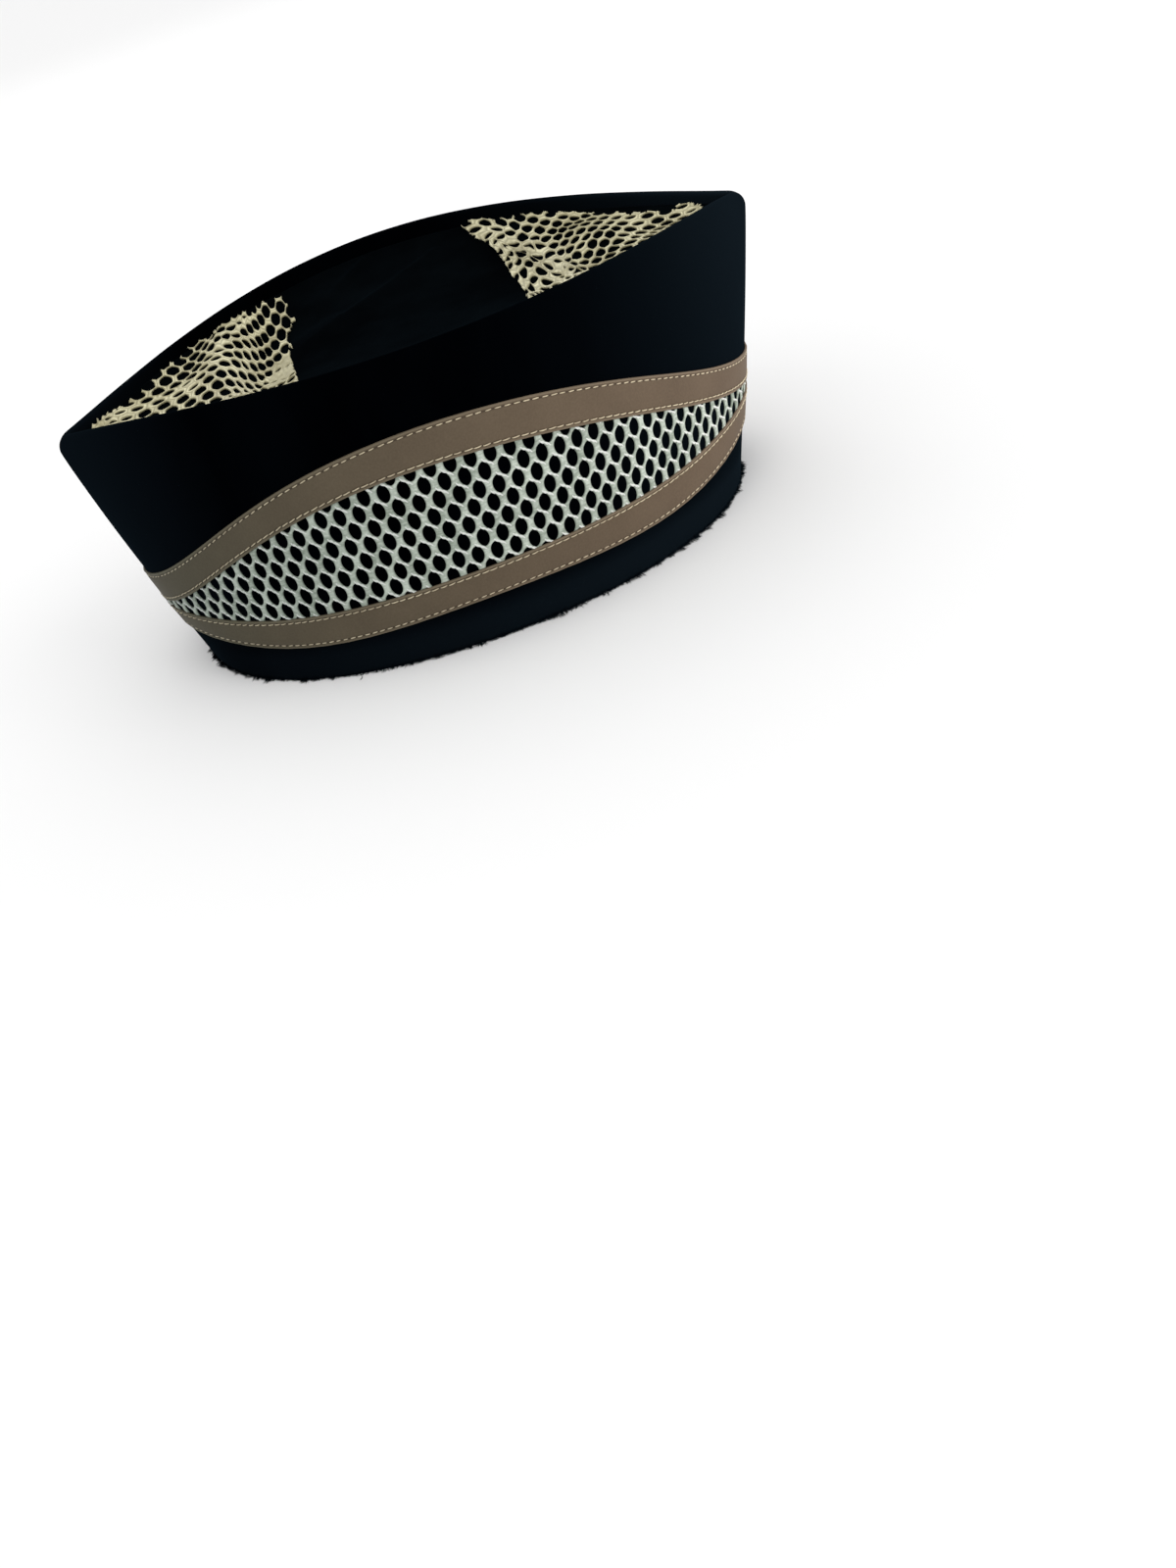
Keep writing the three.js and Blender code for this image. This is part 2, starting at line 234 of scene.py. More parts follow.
print("length of a side, mm:", round(2 * HALF_ARC, 1))

# %% [markdown]
# Turning points into pieces
#
# A piece starts as arrays of points. Two grids of points, an outer and an inner face, close into a
# slab, and rings round a path close into a tube. Both are plain mesh code: modifiers could thicken a
# sheet as well, but here each face has its own rule, so the thickness can change from place to place.

# %% Slabs, tubes and pieces


def slab(front, back):
    """Points and quads of a closed body between two grids with the same rows and columns."""
    rows, columns = front.shape[:2]
    count = rows * columns
    ids = np.arange(count).reshape(rows, columns)
    loops = [(ids[:-1, :-1], ids[:-1, 1:], ids[1:, 1:], ids[1:, :-1]),
             (ids[:-1, :-1] + count, ids[1:, :-1] + count, ids[1:, 1:] + count, ids[:-1, 1:] + count)]
    for line in (ids[:, 0], ids[::-1, -1], ids[0, ::-1], ids[-1, :]):
        loops.append((line[:-1], line[1:], line[1:] + count, line[:-1] + count))
    quads = np.concatenate([np.stack([part.ravel() for part in loop], axis=1) for loop in loops])
    return np.concatenate([front.reshape(-1, 3), back.reshape(-1, 3)]), quads


def unit(vectors):
    return vectors / np.maximum(np.linalg.norm(vectors, axis=-1, keepdims=True), 1e-9)


def tubes(paths, outward, radius, sides):
    """Points and faces of closed tubes along paths, an array of tubes by points by 3."""
    number, length = paths.shape[:2]
    tangent = unit(np.gradient(paths, axis=1))
    across = unit(np.cross(tangent, np.broadcast_to(outward, paths.shape)))
    up = np.cross(across, tangent)
    turn_angle = np.arange(sides) * 2 * np.pi / sides
    wide = np.broadcast_to(np.asarray(radius, float), (number, length))[..., None, None]
    ring = (np.cos(turn_angle)[:, None] * across[..., None, :]
            + np.sin(turn_angle)[:, None] * up[..., None, :])
    points = (paths[..., None, :] + ring * wide).reshape(-1, 3)
    ids = np.arange(number * length * sides).reshape(number, length, sides)
    after = np.roll(ids, -1, axis=2)
    quads = np.stack([ids[:, :-1], after[:, :-1], after[:, 1:], ids[:, 1:]], axis=-1).reshape(-1, 4)
    caps = ids[:, 0, ::-1].tolist() + ids[:, -1].tolist()
    return points, quads.tolist() + caps


def joined(parts):
    """Several bodies of points and faces as one."""
    points, faces, start = [], [], 0
    for part_points, part_faces in parts:
        points.append(part_points)
        faces.extend([[v + start for v in face] for face in part_faces])
        start += len(part_points)
    return np.concatenate(points), faces


def make_piece(name, points, faces, finish, nodes=(), marks=None):
    """A mesh object from points in millimetres, riding on the cap's one body."""
    mesh = bpy.data.meshes.new(name)
    mesh.from_pydata((np.asarray(points) * MM).tolist(), [], [list(face) for face in faces])
    for mark, values in (marks or {}).items():
        layer = mesh.attributes.new(mark, "FLOAT", "POINT")
        layer.data.foreach_set("value", np.asarray(values, np.float32))
    tidy = bmesh.new()
    tidy.from_mesh(mesh)
    bmesh.ops.remove_doubles(tidy, verts=tidy.verts, dist=2e-6)
    bmesh.ops.dissolve_degenerate(tidy, edges=tidy.edges, dist=1e-6)
    bmesh.ops.recalc_face_normals(tidy, faces=tidy.faces)
    tidy.to_mesh(mesh)
    tidy.free()
    mesh.shade_smooth()
    mesh.materials.append(finish)
    piece = bpy.data.objects.new(name, mesh)
    bpy.context.scene.collection.objects.link(piece)
    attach(piece, "root")
    if nodes:
        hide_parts(*nodes)
    triangles = sum(len(face.vertices) - 2 for face in mesh.polygons)
    print(f"{name}: {triangles} triangles")


# %% [markdown]
# Effects that several finishes share
#
# Velvet, tape and yarn each need small changes of colour and height over their surface. Each effect
# is a node group, made once: pile for both velvets, grain for the tapes, and yarn for nets and
# thread. The groups put out only colours and values. The shader itself stays in each material, where
# its constant settings can be read by whoever exports the model.

# %% A kit for node groups


def new_group(name, inputs, outputs):
    """A shader node group with named sockets; inputs and outputs are (name, kind, value) rows."""
    group = bpy.data.node_groups.new(name, "ShaderNodeTree")
    for label, kind, value in inputs:
        socket = group.interface.new_socket(name=label, in_out="INPUT", socket_type=kind)
        socket.default_value = value
    for label, kind in outputs:
        group.interface.new_socket(name=label, in_out="OUTPUT", socket_type=kind)
    return group, group.nodes.new("NodeGroupInput").outputs, group.nodes.new("NodeGroupOutput")


def connect(tree, node, links):
    """Puts values or sockets on the inputs of a node."""
    for label, value in links.items():
        if isinstance(value, bpy.types.NodeSocket):
            tree.links.new(value, node.inputs[label])
        else:
            node.inputs[label].default_value = value


def add_node(tree, kind, links=None, **settings):
    """A new node's outputs. Its settings come first, as they decide which inputs it has."""
    node = tree.nodes.new(kind)
    for key, value in settings.items():
        setattr(node, key, value)
    connect(tree, node, links or {})
    return node.outputs


def mix_colours(tree, factor, first, second, how="MIX"):
    """A colour mix; factor, first and second are values or sockets."""
    return add_node(tree, "ShaderNodeMix", {0: factor, 6: first, 7: second}, data_type="RGBA",
                    blend_type=how)[2]


def object_place(tree):
    return add_node(tree, "ShaderNodeTexCoord")["Object"]


def noise(tree, place, scale, detail, **more):
    links = {"Vector": place, "Scale": scale, "Detail": detail, **more}
    return add_node(tree, "ShaderNodeTexNoise", links)["Fac"]


def map_range(tree, value, source=(0.0, 1.0), target=(0.0, 1.0)):
    limits = {"From Min": source[0], "From Max": source[1], "To Min": target[0], "To Max": target[1]}
    return add_node(tree, "ShaderNodeMapRange", {"Value": value, **limits})["Result"]


def add_math(tree, how, *values):
    return add_node(tree, "ShaderNodeMath", dict(enumerate(values)), operation=how)[0]


def bump_normal(tree, height, strength, distance):
    links = {"Strength": strength, "Distance": distance, "Height": height}
    return add_node(tree, "ShaderNodeBump", links)["Normal"]


def mark_value(tree, mark):
    """The value of a mark on the mesh."""
    return add_node(tree, "ShaderNodeAttribute", attribute_name=mark)["Fac"]


def use_group(tree, group, links):
    """The outputs of a shared effect that is put into a material."""
    return add_node(tree, "ShaderNodeGroup", links, node_tree=group)


FLOAT, COLOUR = "NodeSocketFloat", "NodeSocketColor"

# %% Pile: brushed streaks in velvet
pile, pile_in, pile_out = new_group(
    "Brushed pile",
    [("Scale", FLOAT, 40.0), ("Deep", COLOUR, (0, 0, 0, 1)), ("Brushed", COLOUR, (0, 0, 0, 1))],
    [("Color", COLOUR), ("Roughness", FLOAT), ("Height", FLOAT)])
pile_stretch = add_node(pile, "ShaderNodeMapping", {
    "Vector": object_place(pile), "Scale": (1.0, 1.0, 0.35)})["Vector"]
pile_patches = noise(pile, pile_stretch, pile_in["Scale"], 4.0, Roughness=0.6)
pile_tone = map_range(pile, pile_patches, source=(0.35, 0.7))
connect(pile, pile_out, {
    "Color": mix_colours(pile, pile_tone, pile_in["Deep"], pile_in["Brushed"]),
    "Roughness": map_range(pile, pile_patches, target=(0.98, 0.82)),
    "Height": noise(pile, pile_stretch, 3200.0, 2.0)})

# %% Grain: the skin of leather-look tape
grain, grain_in, grain_out = new_group(
    "Fine grain", [("Scale", FLOAT, 900.0), ("Spread", FLOAT, 0.15)], [("Tone", FLOAT), ("Height", FLOAT)])
grain_place = object_place(grain)
grain_cells = add_node(grain, "ShaderNodeTexVoronoi", {"Vector": grain_place, "Scale": grain_in["Scale"]})
grain_cloud = noise(grain, grain_place, 60.0, 5.0)
grain_fleck = noise(grain, grain_place, 1500.0, 3.0)
grain_centred = add_math(grain, "SUBTRACT", add_math(grain, "ADD", grain_cloud, grain_fleck), 1.0)
connect(grain, grain_out, {
    "Tone": add_math(grain, "MULTIPLY_ADD", grain_centred, grain_in["Spread"], 0.5),
    "Height": grain_cells["Distance"]})

# %% Yarn: fine filaments, lighter on top and darker in the hollows
yarn, yarn_in, yarn_out = new_group(
    "Fine yarn",
    [("Scale", FLOAT, 700.0), ("Light", COLOUR, (1, 1, 1, 1)), ("Shade", COLOUR, (0.5, 0.5, 0.5, 1))],
    [("Color", COLOUR), ("Height", FLOAT)])
yarn_place = object_place(yarn)
yarn_turned = add_node(yarn, "ShaderNodeMapping", {
    "Vector": yarn_place, "Rotation": (0.5, 0.6, 0.4), "Scale": (1.0, 1.0, 3.0)})["Vector"]
yarn_hairs = noise(yarn, yarn_turned, yarn_in["Scale"], 3.0)
yarn_sum = add_math(yarn, "ADD", yarn_hairs, noise(yarn, yarn_place, 110.0, 3.0))
yarn_tone = map_range(yarn, yarn_sum, source=(0.75, 1.2))
connect(yarn, yarn_out, {
    "Color": mix_colours(yarn, yarn_tone, yarn_in["Shade"], yarn_in["Light"]), "Height": yarn_hairs})

# %% Light ramp: painted light, the trimmings painted darker and greyer at the back of the cap and brighter at the front
light_ramp, light_ramp_in, light_ramp_out = new_group(
    "Painted light to the front",
    [("Color", COLOUR, (1, 1, 1, 1)), ("Back", COLOUR, (0.5, 0.5, 0.5, 1))],
    [("Color", COLOUR)])
light_ramp_axis = add_node(light_ramp, "ShaderNodeSeparateXYZ", {"Vector": object_place(light_ramp)})
light_ramp_share = map_range(light_ramp, light_ramp_axis["X"], source=(-0.1, 0.09))
light_ramp_tone = mix_colours(light_ramp, light_ramp_share, light_ramp_in["Back"], (1, 1, 1, 1))
connect(light_ramp, light_ramp_out, {"Color": mix_colours(light_ramp, 1.0, light_ramp_in["Color"], light_ramp_tone, "MULTIPLY")})


def front_lit_colour(tree, colour, back):
    """A colour socket passed through the painted light ramp, darkened by painted shade towards its tone at
    the back of the cap.
    """
    return use_group(tree, light_ramp, {"Color": colour, "Back": back})["Color"]


print("shared effects:", [group.name for group in (pile, grain, yarn, light_ramp)])

# %% [markdown]
# The finishes
#
# Velvet is almost black from the front and catches a little cold light where it turns away, which is
# what the shader's sheen does. At the hem and towards the points it is bluer still by a painted sheen: a
# mark on the mesh says how much. The tape is matt with a painted highlight along its rolled edge and
# painted shade in its stitch line, painted by marks too. Net and thread are the same yarn effect in
# other colours, with a painted highlight on the net's ribs and painted shade in its hollows, and all the
# trimmings are painted darker and greyer towards the back, as painted shade for light from the front.

# %% Velvets
PAINTED_SHEEN = (0.0052, 0.0088, 0.0125, 1)  # painted sheen: the bluish colour painted where the velvet turns away, at the hem and the points


def velvet_finish(name, deep, brushed, scale, sheen):
    material, shader = plain_material(name, (0, 0, 0, 1), 0.9)
    tree = material.node_tree
    effect = use_group(tree, pile, {"Scale": scale, "Deep": deep, "Brushed": brushed})
    # Painted sheen: the mark on the mesh mixes the painted sheen colour into the base colour.
    connect(tree, shader, {
        "Base Color": mix_colours(tree, mark_value(tree, "sheen_share"), effect["Color"], PAINTED_SHEEN),
        "Roughness": effect["Roughness"], "Normal": bump_normal(tree, effect["Height"], 0.35, 0.0002),
        "Specular IOR Level": 0.0, "Sheen Weight": sheen, "Sheen Roughness": 0.3,
        "Sheen Tint": (0.4, 0.72, 1.0, 1.0)})
    return material


velvet = velvet_finish("velvet", (0.0002, 0.0003, 0.0006, 1), (0.0005, 0.0009, 0.0015, 1), 26.0, 0.012)
crown_velvet = velvet_finish("crown_velvet", (0.0006, 0.0009, 0.0012, 1), (0.0014, 0.0022, 0.0028, 1),
                             34.0, 0.01)

# %% Tape
# The edge tone is a painted highlight along the rolled edge, and the groove tone painted shade in the stitch
# line; dark and light are the grain's own tones.
TAPE_COLOURS = {"dark": (0.13, 0.09, 0.059, 1), "light": (0.178, 0.126, 0.083, 1),
                "edge": (0.235, 0.175, 0.12, 1), "groove": (0.055, 0.035, 0.022, 1)}
# Painted shade: the tape is painted darker and greyer towards the back of the cap by this tone.
TAPE_BACK_SHADE = (0.35, 0.44, 0.42, 1)

tape_leather, tape_shader = plain_material("tape", (0.14, 0.108, 0.08, 1), 0.62)
tape_tree = tape_leather.node_tree
tape_grain = use_group(tape_tree, grain, {"Scale": 1100.0, "Spread": 1.1})
tape_colour = mix_colours(tape_tree, tape_grain["Tone"], TAPE_COLOURS["dark"], TAPE_COLOURS["light"])
# Painted highlight on the rolled edge and painted shade in the stitch line.
for mark, tone in (("rolled_edge_highlight", "edge"), ("stitch_line_shade", "groove")):
    tape_colour = mix_colours(tape_tree, mark_value(tape_tree, mark), tape_colour, TAPE_COLOURS[tone])
connect(tape_tree, tape_shader, {
    "Base Color": front_lit_colour(tape_tree, tape_colour, TAPE_BACK_SHADE),
    "Normal": bump_normal(tape_tree, tape_grain["Height"], 0.25, 0.0001), "Specular IOR Level": 0.15})

# %% Net and thread


def yarn_finish(name, light, shade, scale, roughness, ribs=None, hollow_shade=None, back=None):
    """Yarn in two tones. The marks on a net paint its twisted ribs lighter, as a painted highlight, and its
    hollows darker, as painted shade; back paints shade towards the back of the cap.
    """
    material, shader = plain_material(name, light, roughness)
    tree = material.node_tree
    effect = use_group(tree, yarn, {"Scale": scale, "Light": light, "Shade": shade})
    colour = effect["Color"]
    for mark, tone in (("rib", ribs), ("hollow_shade", hollow_shade)):
        if tone:
            colour = mix_colours(tree, mark_value(tree, mark), colour, tone)
    if back:
        colour = front_lit_colour(tree, colour, back)
    connect(tree, shader, {
        "Base Color": colour, "Normal": bump_normal(tree, effect["Height"], 0.5, 0.0002),
        "Sheen Weight": 0.1, "Specular IOR Level": 0.3})
    return material


# The back tones of the side net and the thread are painted shade towards the back of the cap.
# The ribs' colour is a painted highlight, and the hollows' colour is painted shade.
side_yarn = yarn_finish("side_net", (0.7, 0.76, 0.66, 1), (0.3, 0.35, 0.28, 1), 480.0, 0.55,
                        ribs=(0.97, 0.98, 0.93, 1), hollow_shade=(0.3, 0.35, 0.28, 1), back=(0.46, 0.49, 0.49, 1))
top_yarn = yarn_finish("top_net", (0.74, 0.7, 0.46, 1), (0.42, 0.38, 0.22, 1), 480.0, 0.55,
                       hollow_shade=(0.22, 0.2, 0.11, 1))
stitch_thread = yarn_finish("stitch_thread", (0.9, 0.77, 0.53, 1), (0.6, 0.49, 0.33, 1), 1500.0, 0.6,
                            back=(0.42, 0.44, 0.44, 1))
print("finishes:", [m.name for m in (velvet, crown_velvet, tape_leather, side_yarn, top_yarn, stitch_thread)])

# %% [markdown]
# The side panels
#
# On the real cap each side is velvet over a stiff backing, about 3 mm thick, turned in at the top and
# cut raw at the bottom. Here each is a slab whose thickness closes to a round at the top edge. Slow
# waves a fraction of a millimetre high keep the cloth from looking like plastic.

# %% Side panels
PANEL_COLUMNS = 240
PANEL_ROUND = 1.5
PANEL_SHARES = np.concatenate([[0.0, 0.006, 0.015, 0.03], np.linspace(0.06, 0.97, 34)])
ROUND_TURNS = np.linspace(0.12, np.pi / 2 * 0.97, 7)  # steps round the closed top edge
RAW_EDGE = 0.72  # thickness of the cut bottom edge, as a share of the panel's
WAVE_SHIFT = 40.0  # keeps the waves of the two sides from being mirror images
WAVE_FADE = 20.0  # length beside a seam over which the waves die out


def waves(along, height):
    """Slow waves in the cloth, in millimetres."""
    return (0.16 * np.sin(along / 11.0 + 0.6) * np.sin(height / 17.0 + 0.4)
            + 0.12 * np.sin(along / 23.0 + height / 29.0) + 0.05 * np.sin(along / 4.3 + height / 8.0))


def panel_grid(side, face):
    """Grid of one face of a panel: face is 1 for the outer and -1 for the inner one."""
    rows = []
    levels = [(share, 1.0, 0.0) for share in PANEL_SHARES]
    levels += [(1.0, math.cos(turn_up), math.sin(turn_up)) for turn_up in ROUND_TURNS]
    for share, thick, lift in levels:
        half = PANEL / 2 * thick * (RAW_EDGE if share == 0 else 1.0)
        offset = -PANEL / 2 + face * half

        def level(angle, share=share, lift=lift):
            top = top_edge(angle)
            return np.minimum(share * top, top - PANEL_ROUND) if share < 1 else top - PANEL_ROUND * (1 - lift)

        def away(angle, offset=offset, level=level):
            return offset_outline(angle, level(angle) / top_edge(angle), offset)[1]

        angles = np.linspace(end_angle(away, "front"), end_angle(away, "back"), PANEL_COLUMNS)
        height = level(angles)
        along = along_at(angles)
        calm = np.clip((HALF_ARC - np.abs(along)) / WAVE_FADE, 0, 1)
        swell = waves(along + WAVE_SHIFT * side, height) * calm
        rows.append(side_point(angles, height, offset + swell, side))
    return np.array(rows)


# Where the velvet gets painted sheen, standing in for light that catches it: at the hem, at the front point
# and some at the back.
HEM_SHEEN = {"top": 17.0, "light_ramp": 9.0, "middle": 0.62, "front": 0.5, "least": 0.25}
FRONT_SHEEN = {"start": 0.15, "reach": 0.8, "power": 1.6}
BACK_SHEEN = {"start": 0.6, "reach": 0.4, "most": 0.5}


def painted_sheen_share(points):
    """How much painted sheen the velvet gets: at the hem, a lot at the front point and some at the back."""
    x, height = points[:, 0] / (TOP_LENGTH / 2), points[:, 2]
    hem = np.clip((HEM_SHEEN["top"] - height) / HEM_SHEEN["light_ramp"], 0, 1)
    hem = hem * np.clip(HEM_SHEEN["middle"] + HEM_SHEEN["front"] * x, HEM_SHEEN["least"], 1)
    front = np.clip((x - FRONT_SHEEN["start"]) / FRONT_SHEEN["reach"], 0, 1) ** FRONT_SHEEN["power"]
    back = BACK_SHEEN["most"] * np.clip((-x - BACK_SHEEN["start"]) / BACK_SHEEN["reach"], 0, 1)
    return np.maximum(hem, np.maximum(front, back))


for where, side in SIDES:
    points, faces = slab(panel_grid(side, 1), panel_grid(side, -1))
    make_piece(f"velvet_side_{where}", points, faces, velvet, [f"side_panel_{where}"],
               {"sheen_share": painted_sheen_share(points)})

# %% [markdown]
# The crown
#
# The crown is thin velvet sewn in a few millimetres below the top edge. It sags between the sides and
# lies in soft folds. A cloth simulation would find folds of its own; these are given one by one, each a
# ridge or a valley along a line, so that they run as on the real cap.

# %% Sizes and folds of the crown
CROWN = 2.0
CROWN_GAP = 0.5
CROWN_DEPTH_SIDE = 5.0
CROWN_DEPTH_TIP = 2.5
CROWN_SAG = 12.5
SAG_POWER = 3
CROWN_REACH = 119.4
# A fold or crease: its two ends in plan, its height (a valley's is negative) and its width.
FOLDS = [
    ((-66, 42), (-59, -40), 3.0, 8.0),
    ((-51, 48), (-45, -45), -3.5, 7.0),
    ((50, 62), (58, -30), 4.0, 7.0),
    ((67, 35), (68, -30), -2.5, 8.0),
    ((-29, 50), (-3, 73), 1.5, 6.0),
    ((-36, 25), (20, 58), 1.8, 7.0),
    ((20, -30), (42, -20), 1.8, 7.0),
]

crown_angles = np.linspace(0.05, np.pi - 0.05, 3001)
crown_depth = lerp(CROWN_DEPTH_TIP, CROWN_DEPTH_SIDE, np.sin(crown_angles) ** 2)
crown_edge_z = top_edge(crown_angles) - crown_depth
crown_edge_x, crown_edge_y = offset_outline(
    crown_angles, crown_edge_z / top_edge(crown_angles), -PANEL - CROWN_GAP)


def crown_half_width(x):
    return np.maximum(np.interp(-x, -crown_edge_x, crown_edge_y), 0.05)


def fold_height(fold, x, y):
    (x1, y1), (x2, y2), height, width = fold
    reach = (x2 - x1) ** 2 + (y2 - y1) ** 2
    share = np.clip(((x - x1) * (x2 - x1) + (y - y1) * (y2 - y1)) / reach, 0, 1)
    distance = np.hypot(x - lerp(x1, x2, share), y - lerp(y1, y2, share))
    return height * bell(distance, 0, width)


def crown_height(x, y):
    """Height of the crown's upper face at a place in plan."""
    across = np.clip(y / crown_half_width(x), -1, 1)
    inside = 1 - across ** 2
    sag = CROWN_SAG * inside * (1 - (np.abs(x) / (TOP_LENGTH / 2)) ** SAG_POWER)
    folds = sum(fold_height(fold, x, y) for fold in FOLDS)
    return np.interp(-x, -crown_edge_x, crown_edge_z) - sag + folds * np.minimum(1, 2 * inside)


# %% Crown cloth
CROWN_COLUMNS = 200
CROWN_ROWS = 90
CROWN_SEWN_IN = 0.5  # how far the cloth's edge runs into the side panels
TUCK = {"depth": 0.9, "width": 1.3}  # how the cloth dips beside the panels
RIPPLE = 0.12
CREASES = [
    ((-30, 42), (-4, 72), 0.8, 1.8),
    ((-37, 20), (-20, 32), 0.7, 1.6),
    ((-20, 32), (22, 60), 0.8, 1.8),
    ((-18, 40), (22, 60), -0.5, 3.0),
    ((18, -32), (40, -22), 0.7, 1.7),
    ((-58, 50), (-66, 14), 1.0, 4.0),
    ((-49, 44), (-53, 8), -1.0, 4.0),
    ((38, 64), (53, 22), 1.6, 3.4),
    ((53, 22), (57, -12), 1.6, 3.4),
]


def cloth_height(x, y):
    """Height of the crown's cloth with its sharper creases."""
    return crown_height(x, y) + sum(fold_height(crease, x, y) for crease in CREASES)


def crown_grid(drop):
    x = np.linspace(-CROWN_REACH, CROWN_REACH, CROWN_COLUMNS)[:, None]
    across = np.sin(np.linspace(-np.pi / 2, np.pi / 2, CROWN_ROWS))[None, :]
    y = across * (crown_half_width(x) + CROWN_GAP + CROWN_SEWN_IN)
    from_edge = crown_half_width(x) + CROWN_GAP - np.abs(y)
    tuck = TUCK["depth"] * bell(np.maximum(from_edge, 0), 0, TUCK["width"])
    z = cloth_height(x, y) - tuck + RIPPLE * np.sin(x / 5 + y / 9) * np.sin(y / 6) - drop
    return np.stack(np.broadcast_arrays(x, y, z), axis=-1)


points, faces = slab(crown_grid(0.0), crown_grid(CROWN))
make_piece("velvet_crown", points, faces, crown_velvet, ["crown_panel"])

# %% [markdown]
# The tapes
#
# Each side has two tapes of leather-look ribbon, sewn down along both edges. They lie over the edge of
# the net, so each is a slab that is a little thicker where it covers net. The edges are rolled, and the
# stitch lines press a groove into them.

# %% Tapes
TAPE_ON_VELVET = 0.75  # height of the tape's face over the panel, at its edge on bare velvet
TAPE_ON_NET = 1.15
TAPE_COLUMNS = 420
TAPE_EDGES = {
    "lower_bottom": {"middle": 15.3, "ends": 18.5, "lean": 1.2, "power": 0.55, "shift": 0.0, "waist": 3.1},
    "lower_top": {"middle": 25.8, "ends": 25.2, "lean": 1.9, "power": 0.6, "shift": 0.0, "waist": 1.8},
    "upper_bottom": {"middle": 63.5, "ends": 26.9, "lean": 2.5, "power": 1.82, "shift": 0.07, "waist": 0.0},
    "upper_top": {"middle": 75.8, "ends": 36.8, "lean": 1.6, "power": 1.87, "shift": 0.05, "waist": 0.0},
}
STITCH_INSET = 1.25
EDGE_STEPS = np.array([0.0, 0.08, 0.22, 0.42, 0.65, 0.9, 1.08, 1.25, 1.42, 1.65, 2.1])
INNER_ROWS = 3
ROLL = {"width": 0.4, "drop": 0.5, "bead": 0.08}  # the rolled edge and the bead on it
GROOVE = {"depth": 0.2, "width": 0.3}
EDGE_LIGHT = {"middle": 0.3, "width": 0.32}  # where the paler line of painted highlight lies along the rolled edge, and its width
LINE_SHADE = {"most": 0.8, "width": 0.25}  # the darker line under the stitches
PUCKER = {"height": 0.05, "length": 8.7, "width": 1.5}
TAPE_BACKS = (0.05, 0.35)  # height of the tape's back over the panel, on bare velvet and on net


def edge_height(edge, along):
    """Height of a tape's edge at a length from the middle of the side."""
    row = TAPE_EDGES[edge]
    q = along / HALF_ARC
    fall = np.maximum(0, np.cos(np.pi / 2 * (q + row["shift"] * (1 - q ** 2)))) ** row["power"]
    level = lerp(row["ends"], row["middle"], fall)
    return level + row["lean"] * q - row["waist"] * np.sin(np.pi * q) ** 2


def tape_rows(bottom, top):
    """Heights across a tape, close together near both edges."""
    inner = np.linspace(0, 1, INNER_ROWS + 2)[1:-1]
    rows = [bottom + d for d in EDGE_STEPS]
    rows += [lerp(bottom + EDGE_STEPS[-1], top - EDGE_STEPS[-1], share) for share in inner]
    return rows + [top - d for d in EDGE_STEPS[::-1]]


def along_line(height_of, offset, columns):
    """Lengths along a side from seam to seam for a line at a height that changes along it."""
    def away(angle):
        return offset_outline(angle, height_of(along_at(angle)) / top_edge(angle), offset)[1]

    return np.linspace(along_at(end_angle(away, "front")), along_at(end_angle(away, "back")), columns)


def tape_profile(distance, net_side):
    """Height of the tape's face over the panel, by the distance to the nearer edge."""
    crest = lerp(TAPE_ON_VELVET, TAPE_ON_NET, net_side)
    rolled = np.sqrt(np.clip(1 - (1 - np.minimum(distance, ROLL["width"]) / ROLL["width"]) ** 2, 0, 1))
    groove = GROOVE["depth"] * bell(distance, STITCH_INSET, GROOVE["width"])
    bead = ROLL["bead"] * bell(distance, ROLL["width"], GROOVE["width"])
    return crest - ROLL["drop"] * (1 - rolled) - groove + bead


def tape_piece(where, side, level):
    marks = {"rolled_edge_highlight": [], "stitch_line_shade": []}
    count = 2 * len(EDGE_STEPS) + INNER_ROWS
    grids = {"outer": [], "inner": []}
    for row in range(count):
        share = row / (count - 1)
        net_side = share if level == "lower" else 1 - share

        def height_of(along, row=row):
            bottom, top = edge_height(f"{level}_bottom", along), edge_height(f"{level}_top", along)
            return tape_rows(bottom, top)[row]

        along = along_line(height_of, TAPE_ON_NET, TAPE_COLUMNS)
        bottom, top = edge_height(f"{level}_bottom", along), edge_height(f"{level}_top", along)
        height = height_of(along)
        distance = np.maximum(np.minimum(height - bottom, top - height), 0)
        angle = angle_at(along)
        pucker = PUCKER["height"] * np.sin(along * 2 * np.pi / PUCKER["length"])
        outer = tape_profile(distance, net_side) + pucker * bell(distance, 0, PUCKER["width"])
        inner = np.full_like(outer, lerp(*TAPE_BACKS, net_side))
        grids["outer"].append(side_point(angle, height, outer, side))
        grids["inner"].append(side_point(angle, height, inner, side))
        # Marks for the painted highlight on the rolled edge and the painted shade in the stitch line.
        marks["rolled_edge_highlight"].append(bell(distance, EDGE_LIGHT["middle"], EDGE_LIGHT["width"]))
        line = bell(distance, STITCH_INSET, LINE_SHADE["width"])
        marks["stitch_line_shade"].append(LINE_SHADE["most"] * line)
    points, faces = slab(np.array(grids["outer"]), np.array(grids["inner"]))
    values = {mark: np.tile(np.concatenate(rows), 2) for mark, rows in marks.items()}
    make_piece(f"ribbon_{level}_{where}", points, faces, tape_leather, [f"{level}_tape_{where}"],
               values)


for where, side in SIDES:
    for level in ("lower", "upper"):
        tape_piece(where, side, level)

# %% [markdown]
# The stitches
#
# The tapes are sewn by machine with cream thread, about nine stitches to an inch. Each stitch dips into
# the leather at both ends and stands a little proud between them. A texture could draw the dashes, but
# from close by a real thread throws a small shadow, so each one is a short bent tube.

